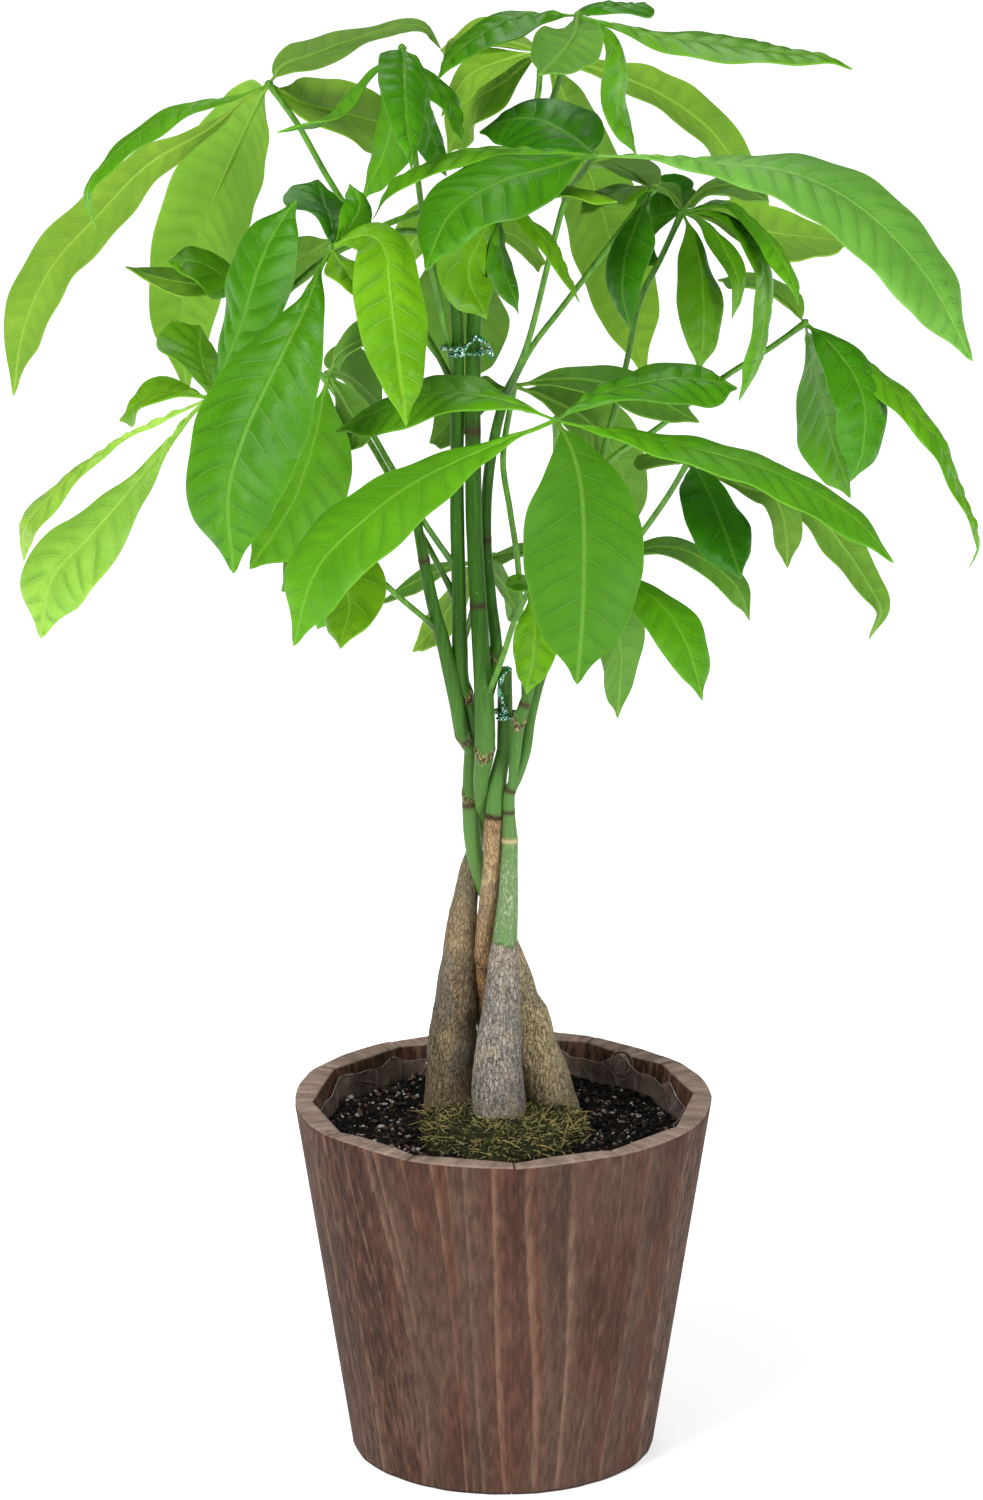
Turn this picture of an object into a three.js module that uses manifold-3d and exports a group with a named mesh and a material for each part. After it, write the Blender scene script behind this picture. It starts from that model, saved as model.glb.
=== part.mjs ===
// A potted money tree: four braided trunks with palmate leaves, in moss and soil,
// in a film-lined pot of tapered wooden staves. Millimetres, +Z up, the origin in the
// middle of the pot's underside, the front of the plant towards -Y.
import * as THREE from 'three';
import { mergeVertices } from 'three/addons/utils/BufferGeometryUtils.js';
import Module from 'manifold-3d';

const wasm = await Module();
wasm.setup();

// ---------------------------------------------------------------- driving sizes
const GAP = 0.3; // clearance between neighbouring pieces
const POT = {
  height: 123,
  footRadius: 51,
  rimRadius: 70,
  innerFootRadius: 45, // to the corners between the staves' flat inner faces
  innerRimRadius: 64,
  staves: 12,
  firstJoint: 3, // degrees from +X
  facets: 4, // of the round outside, per stave
  footEase: 1.4,
  rimEase: 0.6,
};
const BASE = { thickness: 8 };
const FILM = {
  thickness: 0.7,
  top: 117,
  ripples: [[5, 1.2, 0], [3, 1.2, 1]], // of its edge: how many round the pot, height, phase
};
const SOIL = {
  top: 112,
  dip: 2, // of its edge
  lump: [1.1, 6, 7], // height, and its run along X and Y
  crumb: [0.44, 3, 4],
  rings: [0.95, 0.62, 0.25],
};
const MOSS = {
  centre: [0, -8],
  reach: [29, 27],
  height: 8.5,
  lip: 0.8, // of its edge above the soil
  depth: 6,
  lobes: [[3, 0.05, 0], [7, 0.04, 1]], // of its edge: how many round it, share of its reach, phase
  tufts: [4, 0.9, 5], // how many round it, height, turn from ring to ring
  sides: 14,
  rings: [1, 0.9, 0.65, 0.2],
};
const LIMB = { sides: 10 };
const PETIOLE = { sides: 6, radius: 1.0, hub: 2.3 };
const BLADE = {
  thickness: 0.9,
  root: 1.8, // width and thickness at its root
  tip: 1.4,
  stalk: 0.05, // share of its length before it widens
  fullest: 0.55, // where it is widest, as a share of its length
  blunt: 0.8, // the lower, the rounder its ends
  fold: -2, // degrees that its halves rise from its rib
  wave: [1.3, 7], // height, and radians along its length
  turn: 1.7, // radians by which the wave differs from one leaflet to the next
  step: 25, // between its stations
  stations: [4, 7],
};
const TIE = { sides: 6, radius: 0.6, turns: 1.12, rise: 2, steps: 16 };

// ------------------------------------------------------- places along sight lines
// Stems and leaves are placed as seen from a point in front of the pot and above it:
// each place is [column, row, depth], the column and row in a 983 by 1500 frame and
// the depth in mm behind the pot's axis.
const VIEW = { eye: [-3.9, -2062, 842.2], pitch: 16.18, focal: 6500, middle: [491.5, 750] };
const PITCH = THREE.MathUtils.degToRad(VIEW.pitch);
const AHEAD = new THREE.Vector3(0, Math.cos(PITCH), -Math.sin(PITCH));
const ABOVE = new THREE.Vector3(0, Math.sin(PITCH), Math.cos(PITCH));
const EYE = new THREE.Vector3(...VIEW.eye);

function sight([column, row, depth]) {
  const across = (column - VIEW.middle[0]) / VIEW.focal;
  const high = (VIEW.middle[1] - row) / VIEW.focal;
  const line = AHEAD.clone().addScaledVector(ABOVE, high);
  line.x += across;
  return EYE.clone().addScaledVector(line, (depth - EYE.y) / line.y);
}

// --------------------------------------------------------------- trunks and stems
// Each limb is a list of [column, row, depth, radius]; the first limb of a trunk runs
// from its foot in the soil up to its leading shoot.
const TRUNKS = {
  trunk_front: [
    [[500, 1190, -10, 9.2], [500, 1127, -11, 9.1], [497.5, 1074, -10.5, 8.6], [500, 1037, -10, 7.4],
      [502, 1001, -9, 6.1], [503.5, 957, -8, 4.9], [505, 940, -7.5, 4.2], [508, 904, -6, 3.4],
      [509, 870, -5, 3.0], [510, 840, -4.5, 2.6], [509, 812, -4, 2.0], [510, 792, -4, 1.9],
      [517, 776, -4, 2.0], [525, 752, -3, 1.9], [531, 715, -1, 1.8], [540, 680, 1, 1.7],
      [549, 655, 3, 1.6], [556, 615, 6, 1.5], [566, 542, 11, 1.4]],
    [[512, 788, -4, 1.5], [515, 758, -6.5, 1.8], [519, 722, -8, 2.1], [526, 700, -8, 1.8],
      [533, 676, -8, 1.5]],
  ],
  trunk_back: [
    [[512, 1185, 22, 8.8], [510, 1118, 21, 8.8], [504, 1074, 18, 8.0], [496, 1037, 13, 6.2],
      [490, 1000, 6, 4.4], [486, 970, 1, 3.4], [484, 940, -1, 3.1], [488, 904, -2, 3.0],
      [492, 870, -2.5, 3.0], [493, 840, -2.5, 3.2], [495, 815, -2, 3.2], [498, 780, -1, 3.0],
      [504, 750, 0, 2.4], [505, 735, 0.5, 2.6], [505, 700, 0.5, 2.5], [505, 668, 0.5, 2.3]],
  ],
  trunk_right: [
    [[562, 1185, 9, 9.5], [553, 1118, 7, 9.4], [543.5, 1074, 6.5, 8.6], [532.5, 1042, 6.5, 7.9],
      [528, 1018, 8, 7.3], [519.5, 1001, 9, 6.8], [512, 970, 9.5, 6.0], [502, 940, 8.5, 4.9],
      [493, 904, 6.5, 3.6], [480, 872, 3.5, 3.0], [473, 840, 2.5, 2.9], [470.5, 805, 3.5, 2.8],
      [470, 780, 4.5, 2.5], [471, 752, 4, 2.3], [473, 725, 3.5, 2.0], [469, 702, 3, 2.4],
      [462, 685, 2.5, 2.7], [460, 650, 2, 2.6], [459, 600, 2, 2.4], [457, 500, 2.5, 2.3],
      [457.5, 400, 3, 2.2], [457, 320, 2, 2.0], [448, 255, 1, 1.6]],
    [[472, 752, 2, 2.0], [463, 735, 1.5, 2.6], [456, 700, 0.5, 2.5], [445, 650, 0, 2.4],
      [432, 600, -1, 2.1], [424, 560, -1, 1.9], [416, 515, 0, 1.5], [411, 470, 1, 1.2]],
  ],
  trunk_left: [
    [[444, 1185, 9, 9.7], [451, 1118, 7, 9.7], [452, 1074, 6, 8.9], [453, 1037, 5, 8.2],
      [456, 1000, 4.5, 7.3], [459, 965, 4, 6.3], [462, 925, 4.5, 5.2], [466, 895, 6.5, 4.1],
      [470, 868, 9.5, 3.2], [476, 845, 9, 2.6], [481, 818, 5, 2.2], [481, 800, 0.5, 2.2],
      [481, 780, -2.5, 2.6], [484, 757, -4.5, 3.2], [485, 735, -4.5, 3.5], [484, 700, -3.5, 3.3],
      [481, 650, -2, 2.9], [478, 600, -1, 2.8], [474, 520, 0.5, 2.7], [473, 440, 1.5, 2.6],
      [474, 320, 1.5, 2.4], [478, 260, 1.5, 2.0], [486, 205, 2, 1.6]],
    [[486, 705, -1.5, 1.8], [496, 656, 2, 2.1], [491, 600, 5.5, 1.9], [486, 540, 7, 1.8],
      [488, 480, 6, 1.8], [496, 430, 1, 1.7], [506, 392, -2, 1.6]],
  ],
};

// ---------------------------------------------------------------------------- ties
// Each binds what passes its centre, at the given reach to either side and to the front.
const TIES = {
  tie_lower: {
    centre: [505, 716, 0.5],
    reach: [3.6, 3.6],
    tail: [[502, 700, -3.6], [499, 688, -3.2], [503, 676, -3.4], [510, 667, -3.2]],
  },
  tie_upper: {
    centre: [464, 352, 1.9],
    reach: [7.4, 4.9],
    tail: [[476, 338, -3.2], [488, 345, -3.6], [492, 358, -3.8]],
  },
};

// ------------------------------------------------------------------------- leaves
// A leaf has a hub, a petiole through the given places down to the axis of its stem, and
// leaflets. A leaflet runs from the hub through its places to its tip. Its roll turns
// its upper face from the viewer upwards and outwards, in degrees at its root and tip.
const LEAVES = {
  leaf_01: {
    hub: [269, 84, 25],
    petiole: [[298, 125, 24], [328, 178, 22], [388, 272, 15], [435, 350, 8], [457, 392, 3]],
    blades: [
      { path: [[235, 98, 22], [190, 108, 15], [145, 130, 7], [112, 156, 0], [88, 190, -5], [97, 229, -5]],
        wide: 14, roll: [72, 58] },
      { path: [[245, 100, 28], [210, 130, 32], [150, 165, 36], [100, 215, 38], [53, 267, 38],
        [24, 333, 36], [14, 395, 34]], wide: 34, roll: [55, 50], fullest: 0.6 },
      { path: [[256, 110, 46], [225, 175, 66], [195, 250, 78], [183, 310, 82], [187, 395, 82]],
        wide: 38, roll: [40, 20], fullest: 0.42 },
      { path: [[285, 66, 28], [310, 57, 31], [350, 42, 38], [400, 26, 45], [425, 28, 48], [440, 48, 50]],
        wide: 26, roll: [60, 70], fullest: 0.32 },
      { path: [[300, 103, 32], [340, 113, 41], [385, 125, 50], [415, 140, 56]], wide: 44, roll: [50, 60] },
    ],
  },
  leaf_02: {
    hub: [402, 48, -15],
    petiole: [[412, 130, -8], [424, 225, -3], [433, 272, -2], [443, 320, 0], [457, 382, 3]],
    blades: [
      { path: [[375, 70, -22], [350, 97, -30], [325, 118, -38],
        [278, 132, -48]], wide: 16, roll: [78, 82] },
      { path: [[405, 75, -38], [405, 110, -55], [411, 170, -68]], wide: 19, roll: [25, 50],
        fullest: 0.35 },
      { path: [[430, 80, -18], [450, 105, -20], [462, 140, -22]], wide: 22, roll: [70, 72] },
      { path: [[413, 85, -2], [427, 125, 5], [446, 175, 8]], wide: 24, roll: [60, 62] },
      { path: [[396, 100, -1], [385, 150, 8], [363, 199, 12]], wide: 26, roll: [58, 55] },
    ],
  },
  leaf_03: {
    hub: [578, 15, 5],
    petiole: [[570, 45, 8], [560, 78, 11], [545, 115, 13], [515, 165, 10], [486, 210, 2]],
    blades: [
      { path: [[540, 17, 0], [510, 21, -6], [480, 35, -14], [455, 55, -20], [438, 79, -24]],
        wide: 26, roll: [72, 62] },
      { path: [[600, 10, 20], [620, 7, 36], [640, 6, 52]], wide: 24, roll: [60, 70] },
      { path: [[612, 25, 4], [640, 32, 3], [700, 42, 2], [760, 50, 2], [830, 59, 4], [852, 69, 5]],
        wide: 32, roll: [70, 72] },
      { path: [[574, 36, -24], [560, 54, -42], [540, 75, -60]], wide: 21, roll: [10, 20] },
      { path: [[606, 32, -2], [620, 68, -8], [618, 105, -12], [636, 155, -14]], wide: 24, roll: [62, 74] },
    ],
  },
  leaf_04: {
    hub: [595, 155, -45],
    petiole: [[580, 176, -32], [566, 198, -23], [552, 248, -19], [527, 345, -11], [507, 392, -2]],
    blades: [
      { path: [[560, 130, -30], [520, 118, -16], [480, 132, -6]], wide: 30, roll: [35, 50], fullest: 0.38 },
      { path: [[560, 165, -54], [500, 182, -66], [450, 215, -76],
        [426, 270, -82]], wide: 38, roll: [45, 50] },
      { path: [[640, 157, -48], [700, 162, -52], [800, 176, -60], [870, 215, -66], [925, 275, -70],
        [972, 360, -72]], wide: 42, roll: [68, 45], fullest: 0.62 },
      { path: [[550, 152, -42], [480, 153, -42], [430, 165, -42], [395, 183, -42], [374, 218, -42]],
        wide: 22, roll: [76, 80] },
    ],
  },
  leaf_05: {
    hub: [540, 52, 55],
    petiole: [[538, 95, 48], [520, 150, 32], [495, 210, 14], [478, 262, 1.5]],
    blades: [
      { path: [[510, 60, 56], [470, 76, 58], [442, 116, 58]], wide: 25, roll: [60, 64] },
      { path: [[508, 80, 66], [473, 104, 76], [448, 152, 82]], wide: 31, roll: [50, 54] },
      { path: [[505, 42, 70], [470, 36, 82], [441, 50, 92]], wide: 26, roll: [60, 66] },
      { path: [[570, 62, 60], [620, 78, 66], [660, 95, 72], [713, 134, 82], [747, 188, 88], [772, 245, 90]],
        wide: 34, roll: [60, 55] },
      { path: [[560, 90, 74], [580, 150, 88], [604, 220, 94], [624, 290, 96], [645, 378, 96]],
        wide: 34, roll: [40, 35] },
    ],
  },
  leaf_06: {
    hub: [331, 248, -62],
    petiole: [[375, 229, -52], [420, 213, -38], [440, 220, -18], [447, 257, 1]],
    blades: [
      { path: [[318, 275, -70], [308, 305, -78], [288, 345, -86], [262, 395, -93], [243, 440, -97],
        [229, 492, -100], [234, 572, -102]], wide: 40, roll: [35, 25], fullest: 0.58 },
      { path: [[352, 238, -65], [372, 236, -69], [385, 250, -74], [390, 285, -82], [396, 340, -92],
        [401, 385, -99], [406, 425, -105]], wide: 24, roll: [30, 25], fullest: 0.45 },
      { path: [[343, 266, -72], [354, 282, -78], [362, 300, -82]], wide: 14, roll: [30, 40] },
      { path: [[332, 225, -46], [325, 203, -27], [318, 180, -11]], wide: 28, roll: [40, 40] },
      { path: [[350, 225, -52], [360, 205, -42], [349, 184, -34]], wide: 12, roll: [30, 40] },
    ],
  },
  leaf_07: {
    hub: [556, 420, -78],
    petiole: [[556, 470, -70], [556, 540, -46], [550, 615, -20], [533, 678, -8]],
    blades: [
      { path: [[500, 400, -76], [440, 393, -68], [390, 406, -60],
        [335, 432, -54]], wide: 32, roll: [66, 62] },
      { path: [[520, 435, -86], [470, 455, -95], [420, 480, -104], [370, 515, -111], [320, 565, -116],
        [294, 645, -118]], wide: 38, roll: [52, 48], fullest: 0.64 },
      { path: [[570, 445, -88], [580, 480, -97], [584, 540, -108], [582, 620, -118], [577, 683, -121]],
        wide: 38, roll: [12, 8], fullest: 0.5 },
      { path: [[600, 430, -80], [650, 440, -82], [700, 450, -84], [750, 464, -85], [800, 485, -86],
        [850, 515, -86], [893, 562, -86]], wide: 36, roll: [72, 64] },
      { path: [[590, 400, -74], [630, 386, -68], [670, 379, -62], [700, 380, -57], [737, 388, -50]],
        wide: 30, roll: [62, 60] },
    ],
  },
  leaf_08: {
    hub: [805, 323, 45],
    petiole: [[770, 348, 47], [720, 380, 42], [655, 430, 34], [608, 462, 25], [584, 508, 17],
      [566, 548, 11]],
    blades: [
      { path: [[831, 345, 38], [854, 376, 32], [865, 410, 27], [862, 447, 24], [850, 480, 22]],
        wide: 30, roll: [50, 48], fullest: 0.48 },
      { path: [[813, 365, 60], [824, 410, 68], [836, 455, 72], [850, 497, 74]], wide: 32, roll: [55, 50] },
      { path: [[850, 352, 44], [888, 385, 43], [915, 412, 42], [940, 448, 42], [960, 495, 41],
        [975, 530, 40], [977, 550, 40], [968, 567, 39]], wide: 23, roll: [68, 74], fullest: 0.38 },
      { path: [[778, 297, 63], [748, 281, 74], [718, 280, 80]], wide: 24, roll: [68, 68] },
    ],
  },
  leaf_09: {
    hub: [652, 190, -12],
    petiole: [[600, 258, -8], [560, 310, -3], [530, 350, 1], [502, 406, -0.5]],
    blades: [
      { path: [[637, 225, -24], [626, 258, -34], [623, 292, -40],
        [633, 330, -43]], wide: 20, roll: [50, 55] },
      { path: [[622, 190, -13], [600, 197, -14], [580, 214, -15]], wide: 22, roll: [66, 66] },
      { path: [[635, 175, 6], [615, 165, 22], [598, 162, 36]], wide: 24, roll: [50, 60] },
    ],
  },
  leaf_10: {
    hub: [682, 212, 36],
    petiole: [[660, 260, 36], [640, 300, 36], [625, 370, 34], [604, 450, 33], [586, 530, 24],
      [559, 598, 7.5]],
    blades: [
      { path: [[705, 192, 32], [735, 186, 28], [769, 202, 24]], wide: 24, roll: [68, 66] },
      { path: [[694, 240, 26], [701, 275, 18], [703, 320, 12], [698, 372, 8]], wide: 26, roll: [55, 58] },
      { path: [[708, 226, 30], [727, 255, 24], [738, 285, 18], [731, 318, 14]], wide: 15, roll: [66, 60] },
      { path: [[716, 214, 38], [745, 235, 38], [762, 270, 37], [764, 320, 31], [756, 360, 27],
        [738, 400, 24]],
        wide: 21, roll: [70, 66] },
      { path: [[725, 205, 40], [762, 232, 37], [785, 265, 30], [798, 304, 22]], wide: 16, roll: [66, 66] },
      { path: [[715, 218, 50], [765, 232, 60], [810, 238, 68], [855, 242, 74]], wide: 32, roll: [55, 58] },
      { path: [[668, 214, 48], [652, 220, 58], [636, 238, 64]], wide: 34, roll: [35, 45] },
      { path: [[672, 196, 46], [660, 188, 54], [644, 184, 60]], wide: 22, roll: [60, 60] },
    ],
  },
  leaf_11: {
    hub: [342, 545, -30],
    petiole: [[375, 575, -20], [405, 602, -9], [434, 626, -1]],
    blades: [
      { path: [[345, 575, -44], [350, 605, -56], [341, 648, -64]], wide: 28, roll: [40, 45] },
      { path: [[333, 570, -32], [326, 598, -34], [318, 628, -34]], wide: 20, roll: [50, 50] },
      { path: [[320, 548, -22], [300, 562, -14], [282, 590, -8]], wide: 22, roll: [55, 55] },
    ],
  },
  leaf_12: {
    hub: [209, 398, -38],
    petiole: [[235, 372, -42], [262, 322, -44], [300, 280, -44], [335, 253, -45], [378, 236, -38],
      [418, 232, -22], [441, 256, -8], [454, 302, 1.5]],
    blades: [
      { path: [[170, 417, -34], [130, 436, -28], [90, 463, -24], [52, 494, -22], [26, 526, -21],
        [24, 560, -20]],
        wide: 22, roll: [66, 62], fullest: 0.82 },
      { path: [[187, 420, -46], [160, 455, -54], [125, 496, -62], [88, 538, -67], [52, 580, -70],
        [41, 637, -72]], wide: 34.5, roll: [48, 42], fullest: 0.72 },
      { path: [[180, 392, -30], [150, 396, -20], [120, 420, -12]], wide: 20, roll: [64, 60] },
      { path: [[206, 375, -20], [200, 350, -2], [200, 326, 14]], wide: 30, roll: [45, 45] },
      { path: [[226, 365, -50], [245, 315, -56], [258, 270, -55], [272, 238, -52], [297, 200, -46]],
        wide: 29, roll: [45, 40] },
    ],
  },
  leaf_13: {
    hub: [240, 297, 42],
    petiole: [[285, 336, 36], [325, 380, 26], [362, 430, 17], [396, 488, 11], [428, 546, 6], [459, 604, 2]],
    blades: [
      { path: [[205, 287, 40], [165, 280, 38], [125, 267, 36]], wide: 20, roll: [64, 68] },
      { path: [[222, 275, 38], [198, 262, 36], [168, 262, 36]], wide: 28, roll: [55, 60] },
      { path: [[265, 280, 44], [295, 262, 46], [332, 240, 48]], wide: 30, roll: [50, 55] },
    ],
  },
  leaf_14: {
    hub: [688, 462, -22],
    petiole: [[668, 496, -18], [642, 533, -14], [600, 590, -5], [549, 655, 3]],
    blades: [
      { path: [[703, 482, -34], [715, 508, -44], [728, 542, -52], [740, 578, -56]],
        wide: 28, roll: [42, 45] },
      { path: [[730, 476, -18], [775, 490, -14], [815, 515, -10], [845, 550, -8], [870, 588, -8],
        [880, 610, -8], [868, 638, -8]], wide: 22, roll: [62, 58] },
      { path: [[745, 488, -32], [772, 496, -36], [782, 515, -39], [786, 540, -42], [787, 567, -44]],
        wide: 17, roll: [66, 40], fullest: 0.7 },
      { path: [[672, 460, -14], [655, 458, -8], [637, 456, -2]], wide: 18, roll: [55, 60] },
    ],
  },
  leaf_15: {
    hub: [605, 570, 16],
    petiole: [[582, 600, 13], [553, 638, 4.5]],
    blades: [
      { path: [[640, 551, 12], [680, 550, 8], [712, 566, 5], [737, 588, 3], [749, 620, 2]],
        wide: 28, roll: [70, 68] },
      { path: [[630, 583, 4], [662, 606, -6], [685, 640, -13], [702, 700, -18]], wide: 24, roll: [52, 50] },
      { path: [[612, 605, 28], [620, 655, 36], [617, 717, 40]], wide: 25, roll: [50, 55] },
    ],
  },
  leaf_16: {
    hub: [529, 590, -24],
    petiole: [[514, 622, -18], [503, 656, -11], [486, 700, -3.5]],
    blades: [
      { path: [[534, 622, -34], [533, 655, -41], [527, 693, -45]], wide: 14.5, roll: [15, 20] },
      { path: [[522, 584, -12], [514, 580, -8], [507, 578, -4]], wide: 9, roll: [30, 30] },
    ],
  },
  leaf_17: {
    hub: [478, 562, 62],
    petiole: [[476, 590, 48], [470, 620, 26], [460, 655, 2]],
    blades: [
      { path: [[440, 572, 66], [405, 588, 70], [377, 605, 72]], wide: 20, roll: [74, 74] },
      { path: [[462, 590, 74], [440, 622, 84], [413, 651, 90]], wide: 24, roll: [60, 60] },
      { path: [[500, 556, 60], [525, 553, 57], [555, 560, 54]], wide: 20, roll: [76, 76] },
      { path: [[494, 575, 74], [505, 590, 86], [520, 620, 94]], wide: 22, roll: [64, 64] },
    ],
  },
  leaf_18: {
    hub: [328, 374, 8],
    petiole: [[360, 414, 6], [392, 468, 3], [424, 522, 1], [459, 572, 2]],
    blades: [
      { path: [[322, 405, 0], [312, 450, -9], [296, 495, -15], [273, 535, -18], [250, 568, -20]],
        wide: 36, roll: [38, 36] },
      { path: [[346, 376, 28], [365, 390, 42], [384, 410, 52]], wide: 26, roll: [35, 45] },
      { path: [[340, 354, -4], [356, 343, -14], [375, 339, -22]], wide: 20, roll: [50, 50], fullest: 0.7 },
      { path: [[346, 402, 0], [356, 428, -6], [342, 454, -10]], wide: 18, roll: [45, 50] },
    ],
  },
  leaf_19: {
    hub: [500, 200, -32],
    petiole: [[492, 225, -22], [485, 250, -10], [478, 275, 1.5]],
    blades: [
      { path: [[482, 235, -42], [468, 272, -50], [486, 318, -54]], wide: 25, roll: [30, 50] },
      { path: [[498, 232, -36], [503, 268, -38], [518, 313, -38]], wide: 16, roll: [62, 66] },
      { path: [[520, 212, -40], [548, 245, -44], [579, 302, -46]], wide: 18, roll: [74, 74] },
      { path: [[535, 195, -41], [575, 191, -46], [617, 202, -49]], wide: 20, roll: [72, 72] },
    ],
  },
  leaf_20: {
    hub: [514, 386, 10],
    petiole: [[503, 460, 4], [510, 510, 0], [518, 565, -3], [522, 640, -6], [526, 700, -8]],
    blades: [
      { path: [[545, 381, 11], [590, 381, 12], [650, 397, 12], [699, 422, 12]], wide: 27, roll: [58, 58] },
      { path: [[492, 395, 14], [462, 412, 22], [430, 442, 28]], wide: 28, roll: [55, 55] },
      { path: [[545, 398, 22], [590, 424, 38], [620, 470, 46], [628, 545, 50]], wide: 30, roll: [50, 45] },
    ],
  },
  leaf_21: {
    hub: [474, 232, 26],
    petiole: [[476, 252, 16], [477, 275, 1.5]],
    blades: [
      { path: [[466, 265, 38], [462, 320, 48], [465, 385, 54]], wide: 34, roll: [25, 25] },
      { path: [[445, 228, 38], [415, 240, 50], [392, 275, 60]], wide: 30, roll: [50, 50] },
      { path: [[498, 232, 40], [520, 240, 54], [545, 262, 66]], wide: 24, roll: [50, 50] },
    ],
  },
};

// ----------------------------------------------------------------- surface colours
const COLOURS = {
  stave: ['#6b4a3e', 0.8],
  base_disc: ['#5b3f34', 0.85],
  liner: ['#8d828c', 0.15],
  soil: ['#1d1714', 0.95],
  moss: ['#5d6424', 0.95],
  trunk: ['#7d7462', 0.8],
  tie: ['#1d6a4c', 0.5],
  leaf: ['#4f9a12', 0.45],
};

// ------------------------------------------------------------------ mesh and solid
// Skins a row of closed rings that run anticlockwise about their direction of travel.
// In a thin blade the first half of each ring is its upper face and the second half its
// lower one, and both are split along the same diagonals.
function loft(rings, thin = false) {
  const count = rings[0].length;
  const positions = rings.flat().flatMap((point) => point.toArray());
  const index = [];
  for (let i = 0; i + 1 < rings.length; i += 1) {
    for (let j = 0; j < count; j += 1) {
      const next = (j + 1) % count;
      const a = i * count + j;
      const b = i * count + next;
      const c = b + count;
      const d = a + count;
      if (thin && j >= count / 2) index.push(a, b, d, b, c, d);
      else index.push(a, b, c, a, c, d);
    }
  }
  const last = (rings.length - 1) * count;
  if (thin) {
    for (let j = 0; j + 1 < count / 2; j += 1) {
      const under = count - 1 - j;
      index.push(j, under, under - 1, j, under - 1, j + 1);
      index.push(last + j, last + j + 1, last + under - 1, last + j, last + under - 1, last + under);
    }
  } else {
    for (let j = 1; j + 1 < count; j += 1) {
      index.push(0, j + 1, j);
      index.push(last, last + j, last + j + 1);
    }
  }
  const geometry = new THREE.BufferGeometry();
  geometry.setAttribute('position', new THREE.Float32BufferAttribute(positions, 3));
  geometry.setIndex(index);
  return geometry;
}

function solid(geometry) {
  geometry.deleteAttribute('normal');
  geometry.deleteAttribute('uv');
  const merged = mergeVertices(geometry, 1e-4);
  return new wasm.Manifold(new wasm.Mesh({
    numProp: 3,
    vertProperties: new Float32Array(merged.attributes.position.array),
    triVerts: new Uint32Array(merged.index.array),
  }));
}

function joined(solids) {
  return solids.reduce((whole, each) => whole.add(each));
}

function largestBody(whole) {
  const bodies = whole.decompose();
  return bodies.reduce((best, each) => (each.volume() > best.volume() ? each : best));
}

const group = new THREE.Group();

function addPiece(name, shape, kind = name) {
  const { vertProperties, triVerts } = shape.getMesh();
  const geometry = new THREE.BufferGeometry();
  geometry.setAttribute('position', new THREE.Float32BufferAttribute(vertProperties, 3));
  geometry.setIndex(Array.from(triVerts));
  geometry.computeVertexNormals();
  const [color, roughness] = COLOURS[kind];
  const material = new THREE.MeshStandardMaterial({ color, roughness, metalness: 0 });
  const mesh = new THREE.Mesh(geometry, material);
  mesh.name = name;
  group.add(mesh);
}

// ------------------------------------------------------------------- limbs of wood
function crossSection(centre, side, normal, radius, sides) {
  return Array.from({ length: sides }, (_, k) => {
    const angle = (2 * Math.PI * k) / sides;
    return centre.clone()
      .addScaledVector(side, radius * Math.cos(angle))
      .addScaledVector(normal, radius * Math.sin(angle));
  });
}

// A round limb through the given centres, its section carried along without twist.
function limb(centres, radii, sides) {
  const curve = new THREE.CatmullRomCurve3(centres);
  const side = new THREE.Vector3(1, 0, 0);
  const rings = centres.map((centre, i) => {
    const along = curve.getTangent(i / (centres.length - 1));
    side.addScaledVector(along, -side.dot(along)).normalize();
    const normal = along.clone().cross(side);
    return crossSection(centre, side.clone(), normal, radii[i], sides);
  });
  return solid(loft(rings));
}

function trunk(limbs, growth = 0) {
  return joined(limbs.map((places) => limb(
    places.map(sight),
    places.map((place) => place[3] + growth),
    LIMB.sides,
  )));
}

// -------------------------------------------------------------------------- leaves
// The share of its full width that a blade has along its length.
function bladeWidth(along, fullest) {
  const skew = Math.log(0.5) / Math.log(fullest);
  const spread = Math.sin(Math.PI * Math.max(0, (along - BLADE.stalk) / (1 - BLADE.stalk)) ** skew);
  return Math.max(0, spread) ** BLADE.blunt;
}

// The directions across and out of a blade's upper face, rolled by the given angle from
// facing the viewer.
function rollFrame(along, outward, roll) {
  const facing = AHEAD.clone().negate();
  facing.addScaledVector(along, -facing.dot(along)).normalize();
  const upward = along.clone().cross(facing).multiplyScalar(outward);
  const normal = facing.multiplyScalar(Math.cos(roll)).addScaledVector(upward, Math.sin(roll));
  return { normal, side: normal.clone().cross(along) };
}

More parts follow.
